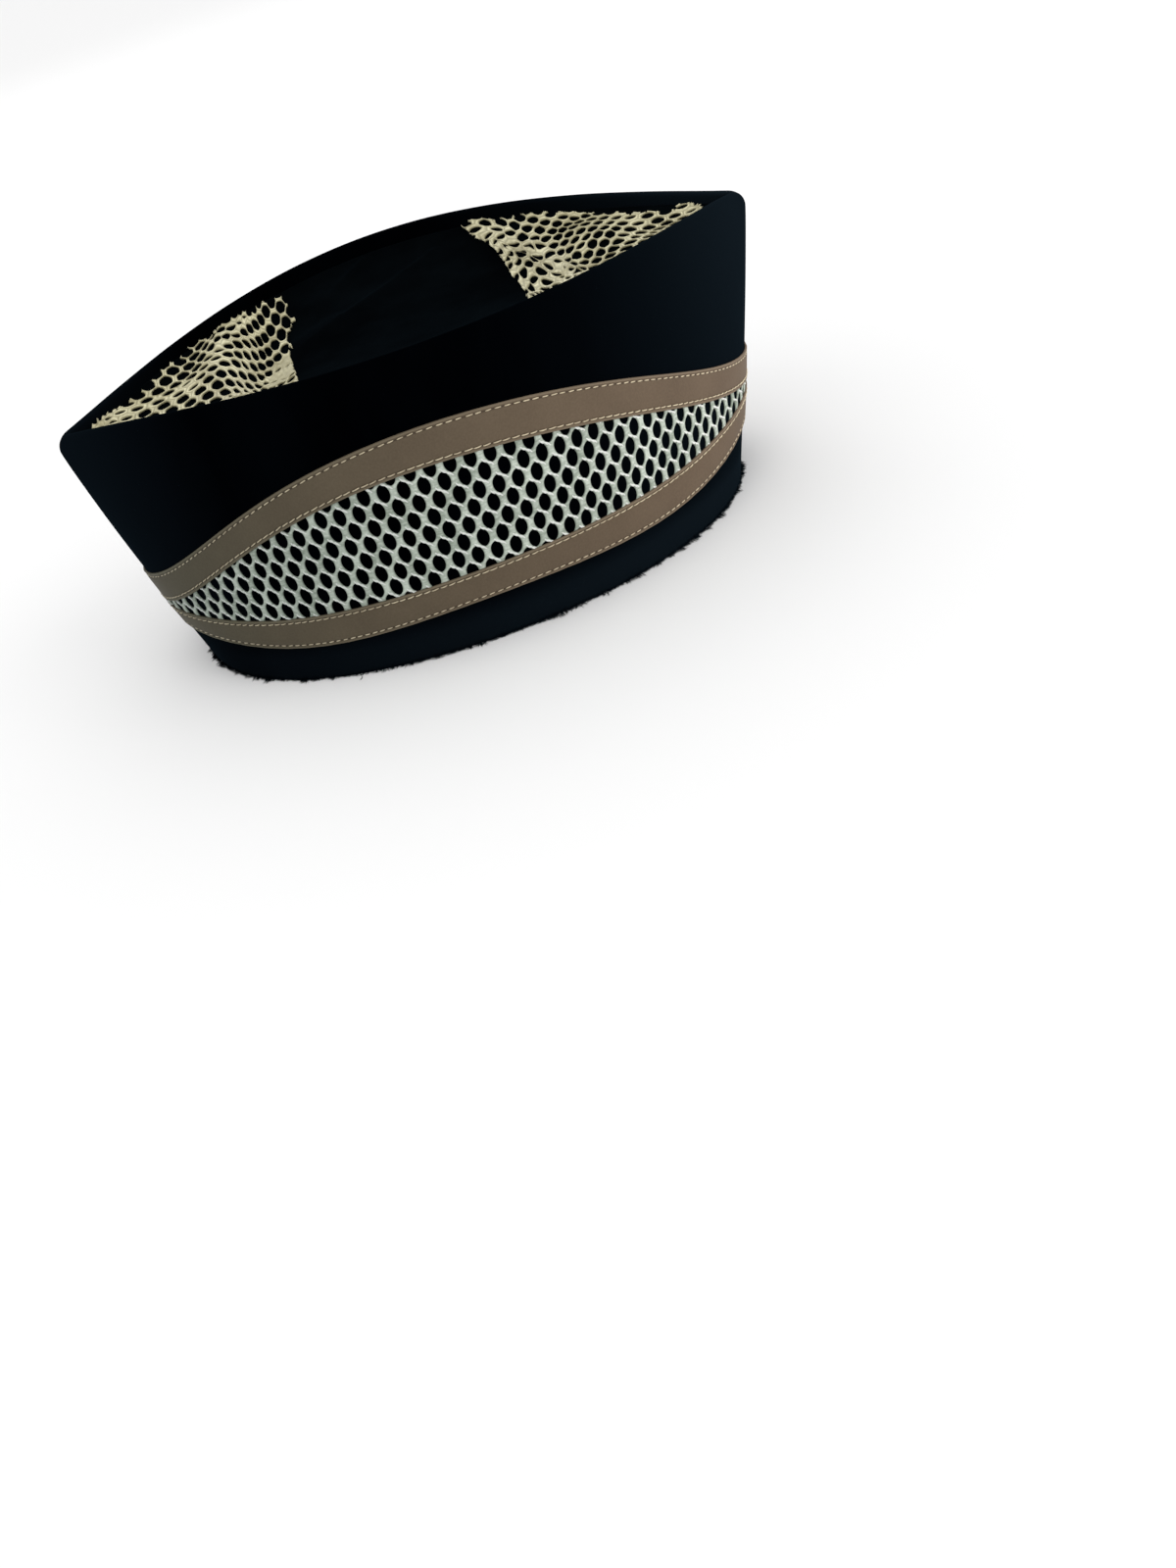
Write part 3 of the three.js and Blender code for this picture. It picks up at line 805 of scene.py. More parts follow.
# %% Stitches
STITCH_PITCH = 2.9
STITCH_LENGTH = 2.45
STITCH_THICK = 0.4
STITCH_SLANT = 0.1
STITCH_UNEVEN = {"start": 0.06, "length": 0.05, "slant": 0.04}
STITCH_DIP = 0.22  # how deep the ends sink below the tape's face
STITCH_ARCH = 0.4
STITCH_END = 2.5  # length beside a seam that is left unsewn
STITCH_STEPS = np.linspace(0, 1, 7)
stitch_dice = np.random.default_rng(11)


def stitch_row(side, edge, inward):
    """Tubes for one row of stitches along a tape's edge; inward is 1 where the tape lies above it."""
    reach = HALF_ARC - STITCH_END
    starts = np.arange(-reach, reach - STITCH_LENGTH, STITCH_PITCH)
    starts = starts + stitch_dice.normal(0, STITCH_UNEVEN["start"], len(starts))
    length = STITCH_LENGTH * (1 + stitch_dice.normal(0, STITCH_UNEVEN["length"], len(starts)))
    along = starts[:, None] + STITCH_STEPS * length[:, None]
    slant = STITCH_SLANT + stitch_dice.normal(0, STITCH_UNEVEN["slant"], len(starts))
    lift = slant[:, None] * (STITCH_STEPS - 0.5) * 2
    height = edge_height(edge, along) + inward * STITCH_INSET + lift
    net_side = 1.0 if edge in ("lower_top", "upper_bottom") else 0.0
    bed = tape_profile(np.array(STITCH_INSET), net_side)
    arch = np.sin(np.pi * STITCH_STEPS) ** 0.6
    offset = np.broadcast_to(bed - STITCH_DIP + STITCH_ARCH * arch, along.shape)
    path = side_point(angle_at(along), height, offset, side)
    outward = unit(side_point(angle_at(along), height, offset + 1, side) - path)
    radius = STITCH_THICK / 2 * (0.75 + 0.25 * arch)
    return tubes(path, outward, radius[None, :], 6)


for where, side in SIDES:
    rows = [stitch_row(side, edge, inward) for edge, inward in (
        ("lower_bottom", 1), ("lower_top", -1), ("upper_bottom", 1), ("upper_top", -1))]
    points, faces = joined(rows)
    make_piece(f"stitches_{where}", points, faces, stitch_thread)

# %% [markdown]
# The net
#
# The net is knitted: lemon-shaped holes in staggered rows, parted by flat strands, with a tight twisted
# rib on one of the two slopes between them. Cutting holes with booleans is slow and leaves sharp
# edges. Here each hole brings its own cell, the part of the net that is nearest to it, as rings from
# the edge of the hole to the border with its neighbours, and cells share their border points.

# %% One cell of the net
PITCH = 6.37
ROW = 5.5
HOLE_HALF_WIDTH = 2.0
HOLE_HALF_HEIGHT = 3.25
NET_THICK = 0.55
CORNER_SIDE = (ROW ** 2 - (PITCH / 2) ** 2) / (2 * ROW)
CORNERS = [(0, ROW - CORNER_SIDE), (PITCH / 2, CORNER_SIDE), (PITCH / 2, -CORNER_SIDE),
           (0, CORNER_SIDE - ROW), (-PITCH / 2, -CORNER_SIDE), (-PITCH / 2, CORNER_SIDE)]
EDGE_PARTS = 4
RINGS = np.array([0.0, 0.22, 0.55, 1.0])
FLAT_STRAND = np.array([0.35, 0.78, 0.98, 0.92])  # thickness at each ring, as a share of NET_THICK
TWIN_STRAND = np.array([0.4, 1.0, 1.25, 0.8])  # two yarns side by side with a groove between them
SHUT_STRAND = np.array([0.85, 0.9, 0.95, 0.9])  # where the net is bunched and its holes are shut; being thinner, it also gets the hollows' painted shade
HOLE_POWERS = (1.6, 2.1)
HOLLOW_DEPTH = 0.6  # loss of thickness at which the yarn has the full painted shade of the hollows
STRAY_QUADS = 60  # a bit of net with fewer quads than this is left out

border = []
for corner, following in zip(CORNERS, CORNERS[1:] + CORNERS[:1]):
    for part in range(EDGE_PARTS):
        border.append(lerp(np.array(corner), np.array(following), part / EDGE_PARTS))
border = np.array(border)


def hole_edge(direction, half_width, half_height):
    """The hole's edge in the direction of each border point."""
    low, high = np.zeros(len(direction)), np.full(len(direction), 2.0)
    for _ in range(40):
        middle = (low + high) / 2
        size = ((np.abs(direction[:, 0] * middle) / half_width) ** HOLE_POWERS[0]
                + (np.abs(direction[:, 1] * middle) / half_height) ** HOLE_POWERS[1])
        low = np.where(size < 1, middle, low)
        high = np.where(size < 1, high, middle)
    return direction * low[:, None]


EDGE = hole_edge(border, HOLE_HALF_WIDTH, HOLE_HALF_HEIGHT)
print("cell of the net, mm:", PITCH, "by", ROW, "with", len(border), "border points")

# %% A whole net from its cells


def net_sheet(centres, keep, edges, strand):
    """Flat points, thickness and quads of a net with a hole at each centre, where keep says so.

    strand is the thickness at each ring, for the whole net or for each of its cells.
    """
    number, around = len(RINGS), len(border)
    rings = lerp(edges[:, None], border[None, None], RINGS[None, :, None, None])
    flat = (centres[:, None, None, :] + rings).reshape(-1, 2)
    thick = np.broadcast_to(strand[..., :, None], (len(centres), number, around)).reshape(-1)
    ids = np.arange(len(flat)).reshape(len(centres), number, around)
    after = np.roll(ids, -1, axis=2)
    quads = np.stack([ids[:, :-1], ids[:, 1:], after[:, 1:], after[:, :-1]], axis=-1).reshape(-1, 4)
    quads = quads[keep(flat[quads].mean(axis=1))]
    keys = np.round(flat * 500).astype(np.int64)
    _, first, same = np.unique(keys, axis=0, return_index=True, return_inverse=True)
    quads = same.reshape(-1)[quads]
    used, quads = np.unique(quads, return_inverse=True)
    return flat[first][used], thick[first][used], quads.reshape(-1, 4)


def net_body(flat, thick, quads, place):
    """Closed body of a net: place(flat, lift) puts flat points on the cap, lifted off its cloth."""
    count = len(flat)
    points = np.concatenate([place(flat, NET_THICK * thick), place(flat, np.zeros(count))])
    edges = np.concatenate([quads[:, [k, (k + 1) % 4]] for k in range(4)])
    code = edges[:, 0] * count + edges[:, 1]
    back = edges[:, 1] * count + edges[:, 0]
    lone = edges[~np.isin(code, back)]
    walls = np.stack([lone[:, 1], lone[:, 0], lone[:, 0] + count, lone[:, 1] + count], axis=1)
    return points, np.concatenate([quads, quads[:, ::-1] + count, walls]).tolist()


def main_part(quads):
    """The quads of a net without stray bits that hang on to nothing."""
    top = int(quads.max()) + 1
    label = np.arange(top)
    while True:
        low = label[quads].min(axis=1)
        new = label.copy()
        for k in range(4):
            np.minimum.at(new, quads[:, k], low)
        if (new == label).all():
            break
        label = new[new]
    names, number = np.unique(label[quads[:, 0]], return_counts=True)
    large = names[number >= STRAY_QUADS]
    return quads[np.isin(label[quads[:, 0]], large)]


# %% Twisted ribs
RIB_PATH = np.array([(-0.35, 4.1), (0.55, 3.45), (1.59, 2.75), (2.6, 2.05), (3.5, 1.4)])
RIB_TURNS = 1.5
YARN_THICK = 0.5
RIB_STEPS = 9
RIB_SWING = 0.42  # how far a yarn swings from the rib's middle, as a share of its thickness
RIB_LIFT = 0.95  # height of the rib's middle, as a share of the net's thickness
RIB_DIP = 0.35  # how far the ends of a rib sink into the net


def rib_yarns(centres, keep, place):
    """Two yarns twisted round each other along one slope of each cell."""
    share = np.linspace(0, 1, RIB_STEPS)
    knots = np.linspace(0, 1, len(RIB_PATH))
    line = np.stack([np.interp(share, knots, RIB_PATH[:, k]) for k in range(2)], axis=1)
    flat = centres[:, None, :] + line[None]
    flat = flat[keep(flat.reshape(-1, 2)).reshape(flat.shape[:2]).all(axis=1)]
    ahead = unit(line[-1] - line[0])
    sideways = np.array([-ahead[1], ahead[0]])
    swing = YARN_THICK * RIB_SWING
    parts = []
    for start in (0.0, np.pi):
        phase = start + share * RIB_TURNS * 2 * np.pi
        shifted = flat + (np.cos(phase) * swing)[None, :, None] * sideways
        lift = NET_THICK * RIB_LIFT + np.sin(phase) * swing - RIB_DIP * np.abs(2 * share - 1) ** 4
        lift = np.broadcast_to(lift, flat.shape[:2])
        path = place(shifted.reshape(-1, 2), lift.reshape(-1)).reshape(*flat.shape[:2], 3)
        over = place(shifted.reshape(-1, 2), lift.reshape(-1) + 1).reshape(path.shape)
        parts.append(tubes(path, unit(over - path), YARN_THICK / 2, 5))
    return joined(parts)


def net_piece(name, node, finish, centres, keep, place, edges=None, strand=FLAT_STRAND):
    """A net of plain holes with ribs between them, or of holes with edges of their own and no ribs."""
    ribbed = edges is None
    if ribbed:
        edges = np.broadcast_to(EDGE, (len(centres), *EDGE.shape))
    flat, thick, quads = net_sheet(centres, keep, edges, strand)
    parts = [net_body(flat, thick, main_part(quads), place)]
    if ribbed:
        parts.append(rib_yarns(centres, keep, place))
    points, faces = joined(parts)
    # The rib mark paints the ribs lighter, a painted highlight; the hollow mark paints shade where the net is
    # thinner than its thickest strand.
    marks = {"rib": np.concatenate([np.full(len(part[0]), float(k)) for k, part in enumerate(parts)])}
    marks["hollow_shade"] = np.zeros(len(points))
    low = np.clip((strand.max() - thick) / HOLLOW_DEPTH, 0, 1)
    marks["hollow_shade"][:2 * len(thick)] = np.tile(low, 2)
    make_piece(name, points, faces, finish, [node], marks)


# %% [markdown]
# The side nets
#
# A band of off-white net fills the space between the tapes on each side, and its cut edges are hidden
# under them. The rows of holes fall a little towards the front in the middle, draw closer together near
# the two points, and the holes stay upright where the cloth behind them flares.

# %% Side nets
SIDE_LATTICE = {"along": 14.7, "height": 51.6}
BAND_MIDDLE = 45.0  # height of the middle of the band
BAND_PITCH = 0.98  # size of the mesh along the band, as a share of PITCH
BAND_ROWS = {"size": 0.95, "loss": 0.06, "reach": 75.0, "least": 0.6}  # size of the mesh up the band
ROW_FALL = {"slope": 0.095, "reach": 54.0}
BAND_FLARE = 0.0015  # how much the cloth widens per millimetre of height
NET_UNDER_TAPE = 2.6
FLAT_UNDER_TAPE = 0.45  # thickness of the net under the tapes, as a share of its thickness in the band
NET_END = 1.2  # length beside a seam that the net leaves free
PRESS_START = 0.2  # how far before a tape's edge the net is pressed flat
NET_OFF_PANEL = 0.12


def lattice(start, rows, columns):
    """Centres of staggered holes round a starting hole."""
    centres = []
    for row in range(-rows, rows + 1):
        for column in range(-columns, columns + 1):
            step = (column + 0.5 * (row % 2)) * PITCH
            centres.append((start[0] + step, start[1] + row * ROW))
    return np.array(centres)


def on_band(flat):
    """Length along the side and height of flat points of the net band."""
    x = flat[..., 0] * BAND_PITCH
    rows = BAND_ROWS["size"] - BAND_ROWS["loss"] * (x / BAND_ROWS["reach"]) ** 2
    fall = ROW_FALL["slope"] * ROW_FALL["reach"] * np.tanh(x / ROW_FALL["reach"])
    height = BAND_MIDDLE + (flat[..., 1] - BAND_MIDDLE) * np.maximum(rows, BAND_ROWS["least"]) - fall
    return x * (1 + BAND_FLARE * (BAND_MIDDLE - height)), height


def side_net(where, side):
    centres = lattice((SIDE_LATTICE["along"], SIDE_LATTICE["height"]), 14, 26)

    def inside(flat, margin):
        along, level = on_band(flat)
        low = edge_height("lower_top", along) - margin
        high = edge_height("upper_bottom", along) + margin
        return (level > low) & (level < high) & (np.abs(along) < HALF_ARC - NET_END)

    def keep(flat):
        return inside(flat, NET_UNDER_TAPE)

    def place(flat, lift):
        squeeze = np.where(inside(flat, -PRESS_START), 1.0, FLAT_UNDER_TAPE)
        along, height = on_band(flat)
        return side_point(angle_at(along), height, NET_OFF_PANEL + lift * squeeze, side)

    net_piece(f"net_band_{where}", f"side_net_{where}", side_yarn, centres, keep, place)


for where, side in SIDES:
    side_net(where, side)

# %% [markdown]
# The top nets
#
# A triangle of cream net covers each end of the crown. It was sewn down slack, so it is pulled into
# waves and bunched up at the points, and its raw edges were cut with scissors, right through the holes.
# Cloth simulation would gather it somewhere, but not in these places. So the net is laid like a real
# one: some of its holes are pinned where the picture shows them, on the crown's cloth under the
# camera's sight line, and the rest of the net follows as a thin bent sheet does.

# %% Sight lines to the crown
PIXELS_WIDE = 1200
PIXELS_TALL = 1600
LENS_PIXELS = camera_data.lens / camera_data.sensor_width * PIXELS_TALL
NET_OFF_CROWN = 0.35
SIGHT_STEPS = np.linspace(300.0, 800.0, 6000)


def picture_places(points):
    """Pixels at which the camera sees points given in millimetres."""
    seen = (points * MM - np.array(CAMERA_PLACE)) @ np.array([CAMERA_RIGHT, CAMERA_UP, CAMERA_BACK]).T
    across = PIXELS_WIDE / 2 - LENS_PIXELS * seen[..., 0] / seen[..., 2]
    down = PIXELS_TALL / 2 + LENS_PIXELS * seen[..., 1] / seen[..., 2]
    return np.stack([across, down], axis=-1)


def cloth_under(pixel):
    """Place in plan where the sight line through a pixel meets the crown."""
    across, down = (pixel[0] - PIXELS_WIDE / 2) / LENS_PIXELS, (PIXELS_TALL / 2 - pixel[1]) / LENS_PIXELS
    ray = across * np.array(CAMERA_RIGHT) + down * np.array(CAMERA_UP) - np.array(CAMERA_BACK)
    line = np.array(CAMERA_PLACE) / MM + SIGHT_STEPS[:, None] * unit(ray)
    over_crown = (np.abs(line[:, 0]) < CROWN_REACH) & (line[:, 1] > -TOP_WIDTH / 2)
    met = over_crown & (line[:, 2] < cloth_height(line[:, 0], line[:, 1]) + NET_OFF_CROWN)
    return line[np.argmax(met), :2]


# %% A net pinned at some of its holes
PIN_SLACK = 4.0  # how much the net may stray from its pins, to lie smoothly


def pull(first, second):
    """How strongly a pin acts on a place, by the distance between them."""
    square = ((first[:, None] - second[None]) ** 2).sum(axis=-1)
    return square * np.log(np.maximum(square, 1e-9))


def pinned(places, targets):
    """The smoothest way to lay a flat sheet so that its places come to their targets."""
    number = len(places)
    flat_part = np.concatenate([np.ones((number, 1)), places], axis=1)
    system = np.zeros((number + 3, number + 3))
    system[:number, :number] = pull(places, places) + PIN_SLACK * np.eye(number)
    system[:number, number:] = flat_part
    system[number:, :number] = flat_part.T
    weights = np.linalg.solve(system, np.concatenate([targets, np.zeros((3, 2))]))

    def lay(flat):
        plain = flat.reshape(-1, 2)
        bent = pull(plain, places) @ weights[:number]
        level = np.concatenate([np.ones((len(plain), 1)), plain], axis=1) @ weights[number:]
        return (bent + level).reshape(flat.shape)

    return lay


# %% Pinned holes and cut edges
# Runs of neighbouring holes in a row: the row and the first hole's column, then for each hole the pixel
# of its middle, the slant of its long side in degrees and its width as a share of its length.
NET_PINS = {
    "back": {
        (-1, -0.5): [(195, 413, 40, 0.4), (212, 404, 40, 0.45), (232, 402, -20, 0.35),
            (243, 401, -35, 0.2)],
        (0, -5): [(114, 431, 20, 0.1), (129, 428, 20, 0.12), (148, 424, 30, 0.8), (167, 415, 20, 0.45),
            (187, 409, 35, 0.55), (205, 399, 50, 0.5), (224, 394, 0, 0.5), (235, 391, -35, 0.3),
            (245, 394, -48, 0.15), (254, 396, -38, 0.25), (264, 396, -15, 0.3), (270, 392, 20, 0.15),
            (280, 391, 20, 0.03), (291, 388, 20, 0.03)],
        (1, -5.5): [(110, 428, 20, 0.1), (122, 422, 20, 0.12), (140, 418, 15, 0.15), (162, 411, 20, 0.15),
            (183, 403, 30, 0.15), (198, 396, 40, 0.05), (214, 388, 25, 0.35), (226, 382, -15, 0.35),
            (237, 382, -40, 0.25), (247, 384, -50, 0.28), (256, 386, -42, 0.35), (266, 386, -20, 0.3),
            (274, 382, 20, 0.35), (285, 378, 40, 0.03), (295, 374, 40, 0.03)],
        (2, -3): [(149, 410, 25, 0.25)],
        (2, -1): [(191, 392, 40, 0.05), (206, 385, 40, 0.2), (218, 376, 20, 0.25), (229, 372, -12, 0.28),
            (241, 372, -38, 0.3), (249, 374, -52, 0.12), (258, 376, -45, 0.28), (266, 376, -25, 0.35),
            (276, 372, 5, 0.35), (284, 365, 40, 0.35)],
        (3, -2.5): [(162, 401, 25, 0.55), (179, 395, 35, 0.25)],
        (3, 0.5): [(208, 376, 38, 0.15), (221, 366, 20, 0.15), (232, 362, -8, 0.28), (242, 363, -32, 0.3),
            (251, 364, -50, 0.25), (259, 364, -52, 0.28), (268, 363, -45, 0.4), (275, 360, -10, 0.45),
            (282, 353, 12, 0.5), (288, 342, 55, 0.6), (292, 329, 58, 0.6)],
        (4, -2): [(169, 390, 15, 0.8), (188, 385, 20, 0.7)],
        (4, 2): [(224, 359, 12, 0.12), (233, 355, 0, 0.25), (242, 352, -20, 0.4), (251, 351, -45, 0.25),
            (258, 351, -50, 0.15), (264, 349, -52, 0.5), (271, 345, -42, 0.45), (277, 338, -15, 0.6),
            (282, 327, 65, 0.65), (286, 314, 80, 0.8)],
        (5, -1.5): [(176, 379, -10, 0.65), (194, 375, 12, 0.55)],
        (5, 1.5): [(216, 355, 45, 0.25), (221, 346, 42, 0.25), (230, 344, 38, 0.35), (239, 344, 5, 0.15),
            (248, 340, -20, 0.4), (254, 336, -30, 0.4), (261, 332, -40, 0.35), (266, 327, -45, 0.4),
            (271, 318, -62, 0.5)],
        (6, 0): [(199, 365, 10, 0.6)],
        (6, 3): [(225, 337, 25, 0.25), (236, 336, 22, 0.25), (244, 330, 12, 0.22), (249, 324, 8, 0.2)],
        (7, 0.5): [(205, 354, 30, 0.75)],
    },
    "front": {
        (-3, -8.5): [(527, 284, 75, 0.25), (543, 296, 90, 0.6), (556, 297, 20, 0.5)],
        (-3, -4.5): [(581, 284, 0, 0.25), (590, 279, 10, 0.3)],
        (-2, -9): [(521, 271, 70, 0.3), (536, 279, 75, 0.6), (544, 286, 40, 0.45), (559, 289, -15, 0.4),
            (575, 283, -10, 0.25), (583, 276, 0, 0.3), (592, 275, 5, 0.3)],
        (-1, -8.5): [(530, 269, 55, 0.4), (541, 269, -5, 0.45), (553, 277, -30, 0.5), (571, 281, 0, 0.15),
            (577, 274, -20, 0.08), (583, 270, 5, 0.3), (596, 270, 15, 0.3), (609, 267, 30, 0.4)],
        (0, -10): [(512, 258, 55, 0.4), (523, 260, 55, 0.45), (534, 259, 0, 0.35), (546, 264, -20, 0.2),
            (561, 273, -35, 0.25)],
        (0, -3): [(588, 262, 35, 0.65), (601, 261, 45, 0.5), (614, 259, 40, 0.5), (626, 256, 35, 0.6),
            (644, 248, 10, 0.5)],
        (1, -9.5): [(506, 246, 45, 0.3), (515, 250, 30, 0.35)],
        (1, -4.5): [(571, 258, 35, 0.35), (581, 256, 40, 0.35), (593, 251, 40, 0.2), (605, 249, 50, 0.7),
            (617, 249, 30, 0.5), (631, 248, 25, 0.4), (650, 243, -10, 0.25)],
        (2, -10): [(499, 241, 50, 0.25)],
        (2, -8): [(526, 251, 5, 0.2), (541, 250, 0, 0.12), (551, 253, 15, 0.35), (564, 252, 30, 0.4),
            (576, 249, 42, 0.35), (587, 246, 45, 0.35), (599, 243, 40, 0.3)],
        (2, 0): [(623, 239, 30, 0.6), (636, 241, 0, 0.2)],
        (3, -10.5): [(484, 235, 30, 0.35), (509, 235, -10, 0.2), (521, 239, 0, 0.3), (534, 243, 10, 0.6),
            (545, 245, 20, 0.4), (556, 244, 30, 0.35), (569, 243, 38, 0.45), (581, 240, 38, 0.4),
            (594, 236, 33, 0.4), (605, 234, 25, 0.35), (618, 233, 20, 0.25)],
        (3, 1.5): [(643, 235, 0, 0.4), (663, 234, 5, 0.45)],
        (4, -11): [(476, 229, 0, 0.4), (495, 229, -25, 0.55), (512, 227, -30, 0.5), (525, 231, 10, 0.65),
            (537, 234, 20, 0.5), (550, 236, 25, 0.6), (564, 238, 22, 0.4)],
        (4, -3): [(585, 232, 20, 0.2), (598, 229, 12, 0.2)],
        (4, 2): [(651, 229, 15, 0.2), (672, 226, 15, 0.5), (689, 221, 15, 0.3), (706, 216, 25, 0.12)],
        (5, -6.5): [(544, 225, 12, 0.45), (556, 228, 12, 0.35), (569, 229, 18, 0.45), (580, 230, 18, 0.25)],
        (6, -4): [(575, 222, 5, 0.25), (587, 224, 0, 0.3)],
    },
}
# Pins on the side of the crown that the near wall hides: column, row, and the place in millimetres.
HIDDEN_PINS = {
    "back": [(-4, -4, -97, -12), (0, -4, -75, -12), (0, -8, -75, -34), (4, -4, -57, -20), (4, -8, -54, -42),
             (8, -2, -43, 2), (8, -8, -34, -40), (-2, -6, -86, -23), (8, -5, -38, -19)],
    "front": [(-7, -6, 44, -30), (-5, -9, 50, -48), (-3, -6, 62, -30), (0, -4, 78, -14), (2, -2, 90, -3),
              (-1, -8, 69, -42), (3, -5, 91, -20), (5, -3, 102, -9)],
}
# Pins of the bunched tips, in the same form.
TIP_PINS = {"back": [(-6, 0, -108, 3)], "front": [(6, 1, 108, 2)]}
# The cut outline as the camera sees it. It goes on behind the near wall, where it ends at the wall.
NET_CUT = {
    "back": [(93, 438), (97, 432), (109, 423), (126, 415), (137, 406), (143, 408), (145, 396), (151, 400),
             (157, 387), (171, 374), (176, 371), (184, 373), (186, 362), (194, 356), (205, 348), (213, 347),
             (225, 333), (236, 325), (248, 320), (259, 320), (261, 312), (267, 308), (277, 313), (281, 302),
             (285, 301), (293, 311), (294, 319), (300, 322), (302, 329), (298, 331), (296, 342), (298, 350),
             (296, 360), (300, 377), (304, 387), (330, 520), (93, 520)],
    "front": [(470, 228), (476, 224), (490, 224), (503, 225), (517, 224), (530, 221), (538, 216), (546, 220),
              (556, 217), (570, 218), (583, 217), (603, 218), (620, 219), (636, 216), (640, 220), (651, 218),
              (671, 216), (690, 214), (694, 208), (701, 208), (717, 210), (717, 400), (560, 400), (538, 301),
              (529, 288), (523, 282), (514, 266), (507, 256), (497, 248), (484, 243), (478, 236), (471, 232)],
}


def inside_outline(places, corners):
    """Whether places lie inside a closed outline, by the edges that a line to the right crosses."""
    inside = np.zeros(len(places), bool)
    for (x0, y0), (x1, y1) in zip(corners, corners[1:] + corners[:1]):
        level = (places[:, 1] < y0) != (places[:, 1] < y1)
        if y0 != y1:
            inside ^= level & (places[:, 0] < x0 + (places[:, 1] - y0) / (y1 - y0) * (x1 - x0))
    return inside


# %% Top nets
PIN_REACH = 15.0  # how far the net goes beyond its outermost pins
PIN_SPREAD = 4.0  # how far a pin's slant and opening carry over to its neighbours
SLIT_LENGTH, OPEN_LENGTH = 5.4, 6.8  # half lengths of closed and open holes, in pixels of the picture
HOLE_WIDEN = {"back": 1.6, "front": 1.2}
HOLE_ROOM = 1.35  # how far a long hole may reach past the border of its cell before it is cut
SHUT_HOLE = 0.09  # opening under which the net reads as shut
BORDER_SHARE = 0.95
CORNER_POWER = -8
HIDDEN_HOLE = (0, 1.0)  # slant and opening of a pin that the near wall hides; its hole lies plain
TIP_HOLE = (20, 0.1)
NET_TRIM = 0.8  # how far the net ends before the side panels
CUT_WOBBLE = 0.8  # how ragged the scissors' cut is, in pixels of the picture
SLOPE_STEP = 0.3


def top_net(where):
    pins = [(first + k, row, cloth_under(pixel), slant, wide)
            for (row, first), holes in NET_PINS[where].items()
            for k, (*pixel, slant, wide) in enumerate(holes)]
    for table, hole in ((HIDDEN_PINS, HIDDEN_HOLE), (TIP_PINS, TIP_HOLE)):
        pins += [(column, row, (x, y), *hole) for column, row, x, y in table[where]]
    places = np.array([(pin[0] * PITCH, pin[1] * ROW) for pin in pins])
    lay = pinned(places, np.array([pin[2] for pin in pins]))

    def place(flat, lift):
        px, py = np.moveaxis(lay(flat), -1, 0)
        slope_x = (cloth_height(px + SLOPE_STEP, py) - cloth_height(px - SLOPE_STEP, py)) / (2 * SLOPE_STEP)
        slope_y = (cloth_height(px, py + SLOPE_STEP) - cloth_height(px, py - SLOPE_STEP)) / (2 * SLOPE_STEP)
        normal = unit(np.stack([-slope_x, -slope_y, np.ones_like(px)], axis=-1))
        ground = np.stack([px, py, cloth_height(px, py)], axis=-1)
        return ground + normal * (NET_OFF_CROWN + lift)[..., None]

    def seen(flat):
        return picture_places(place(flat, np.zeros(len(flat))))

    def keep(flat):
        points = place(flat, np.zeros(len(flat)))
        near = ((flat[:, None] - places[None]) ** 2).sum(axis=-1).min(axis=1) < PIN_REACH ** 2
        wobble = CUT_WOBBLE * np.sin(points[:, :1] * 2.3 + points[:, 1:2] * 1.1)
        cut = inside_outline(picture_places(points) + wobble, NET_CUT[where])
        return near & cut & (np.abs(points[:, 1]) < crown_half_width(points[:, 0]) - NET_TRIM)

    centres = lattice((0.0, 0.0), 14, 16)
    weight = np.exp(-((centres[:, None] - places[None]) ** 2).sum(axis=-1) / PIN_SPREAD ** 2) + 1e-9
    weight = weight / weight.sum(axis=1, keepdims=True)
    slants = np.radians([pin[3] for pin in pins])
    slant = np.arctan2(weight @ np.sin(2 * slants), weight @ np.cos(2 * slants)) / 2
    wide = np.minimum(weight @ np.array([pin[4] for pin in pins]) * HOLE_WIDEN[where], 1.0)
    long = lerp(SLIT_LENGTH, OPEN_LENGTH, np.clip(wide / 0.5, 0, 1))
    along = seen(centres + (0.5, 0)) - seen(centres - (0.5, 0))
    across = seen(centres + (0, 0.5)) - seen(centres - (0, 0.5))
    rays = unit(border)
    shown = rays[None, :, :1] * along[:, None] + rays[None, :, 1:] * across[:, None]
    lengthways = shown[..., 0] * np.cos(slant)[:, None] - shown[..., 1] * np.sin(slant)[:, None]
    sideways = shown[..., 0] * np.sin(slant)[:, None] + shown[..., 1] * np.cos(slant)[:, None]
    limit = BORDER_SHARE * np.linalg.norm(border, axis=-1)[None]
    on_slant = np.argmin(np.abs(sideways / lengthways), axis=1)
    room = (limit * np.abs(lengthways))[np.arange(len(centres)), on_slant]
    long = np.minimum(long, HOLE_ROOM * room)
    reach = 1 / np.hypot(lengthways / long[:, None], sideways / (long * wide)[:, None])
    reach = (reach ** CORNER_POWER + limit ** CORNER_POWER) ** (1 / CORNER_POWER)
    hidden = weight @ np.array([float(pin[3:] == HIDDEN_HOLE) for pin in pins])
    edges = lerp(rays[None] * reach[..., None], EDGE[None], hidden[:, None, None])
    strand = lerp(TWIN_STRAND, SHUT_STRAND, np.clip(2 - wide / SHUT_HOLE, 0, 1)[:, None])
    net_piece(f"net_point_{where}", f"top_net_{where}", top_yarn, centres, keep, place, edges,
              strand)


for where in NET_PINS:
    top_net(where)

# %% [markdown]
# The raw hem
#
# The bottom edge is cut velvet, not turned in, so short fibres and a few threads stand out of it. They
# are thin three-sided tubes with a pointed end, spread by a seeded random generator, so that each run
# gives the same cap.

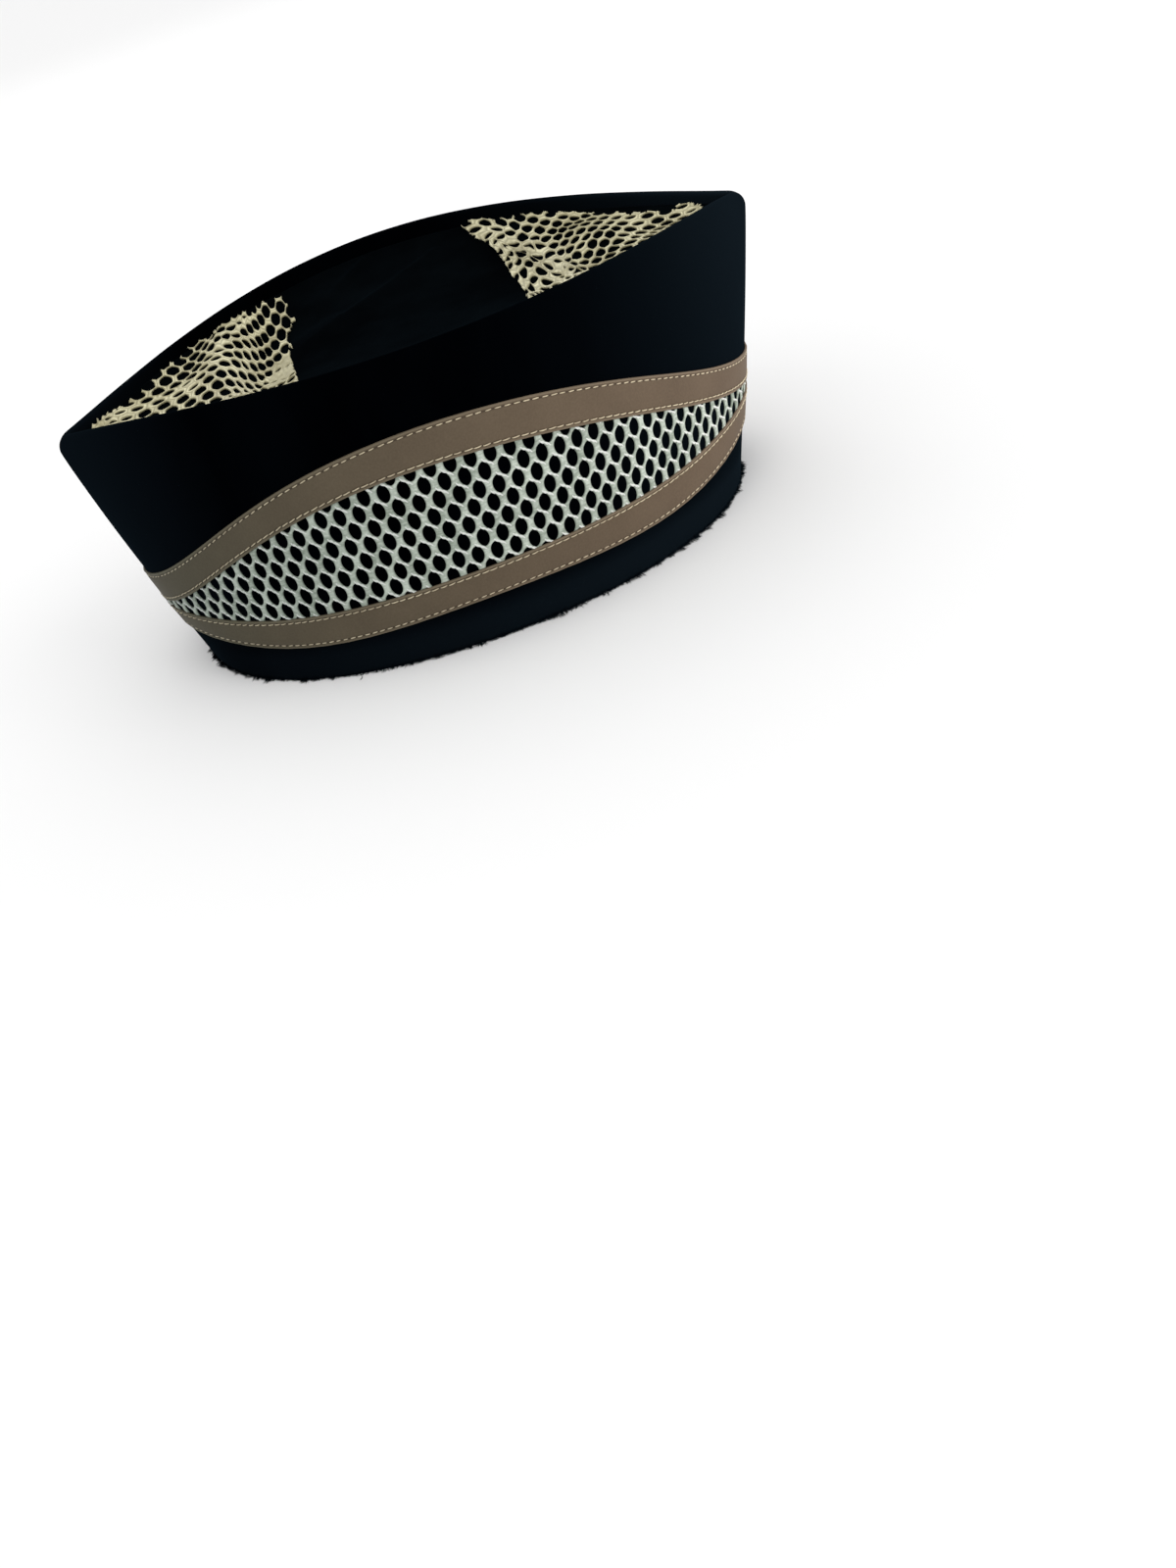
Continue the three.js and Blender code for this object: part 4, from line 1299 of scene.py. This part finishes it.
# %% Frayed hem
FIBRES_PER_SIDE = 2400
FIBRE_TAPER = np.array([1.0, 0.9, 0.7, 0.15])
FIBRE_RADIUS = 0.12
THREAD_RADIUS = 0.11
HEM_STEPS = np.linspace(0, 1, 4)
hem_dice = np.random.default_rng(5)
THREADS = [
    {"along": -62.0, "length": 6.0, "curl": 2.5}, {"along": -31.0, "length": 3.0, "curl": 0.6},
    {"along": 3.0, "length": 2.6, "curl": -0.4}, {"along": 21.0, "length": 3.4, "curl": 0.8},
    {"along": 70.0, "length": 3.0, "curl": -0.8},
]


def fibre_paths(side):
    """Short fibres at the hem: each starts in the cloth and bends outward and down."""
    number = FIBRES_PER_SIDE
    angle = hem_dice.uniform(0.02, np.pi - 0.02, number)
    start_height = hem_dice.uniform(0.15, 1.3, number)
    tufts = hem_dice.uniform(0, 1, 160) ** 3
    tuft = np.interp(angle, np.linspace(0, np.pi, len(tufts)), tufts)
    out = hem_dice.uniform(0.4, 1.2, number) * (0.7 + 2.6 * tuft)
    turn_along = hem_dice.normal(0, 0.008, number)
    angles = angle[:, None] + turn_along[:, None] * HEM_STEPS ** 1.5
    angles = np.clip(angles, 0.005, np.pi - 0.005)
    drop = hem_dice.uniform(0.1, 1.0, number)
    height = np.maximum(start_height[:, None] - drop[:, None] * HEM_STEPS ** 2, 0.06)
    offset = -0.3 + (out[:, None] + 0.3) * HEM_STEPS
    return side_point(angles, height, offset, side)


def thread_paths(side):
    """A few longer threads that have worked loose and lie out from the hem."""
    paths = []
    for thread in THREADS:
        along = thread["along"] + thread["curl"] * np.sin(HEM_STEPS * 2.2)
        offset = -0.5 + thread["length"] * HEM_STEPS * (1 - 0.25 * HEM_STEPS)
        height = np.maximum(1.2 - 1.6 * HEM_STEPS, 0.12)
        paths.append(side_point(angle_at(along), height, offset, side))
    return np.array(paths)


hem_parts = []
for _, side in SIDES:
    hem_parts.append(tubes(fibre_paths(side), (0, 0, 1), FIBRE_TAPER * FIBRE_RADIUS, 3))
    hem_parts.append(tubes(thread_paths(side), (0, 0, 1), THREAD_RADIUS, 5))
points, faces = joined(hem_parts)
# The fibres at the hem get the same painted sheen as the velvet.
make_piece("frayed_hem", points, faces, velvet, marks={"sheen_share": painted_sheen_share(points)})
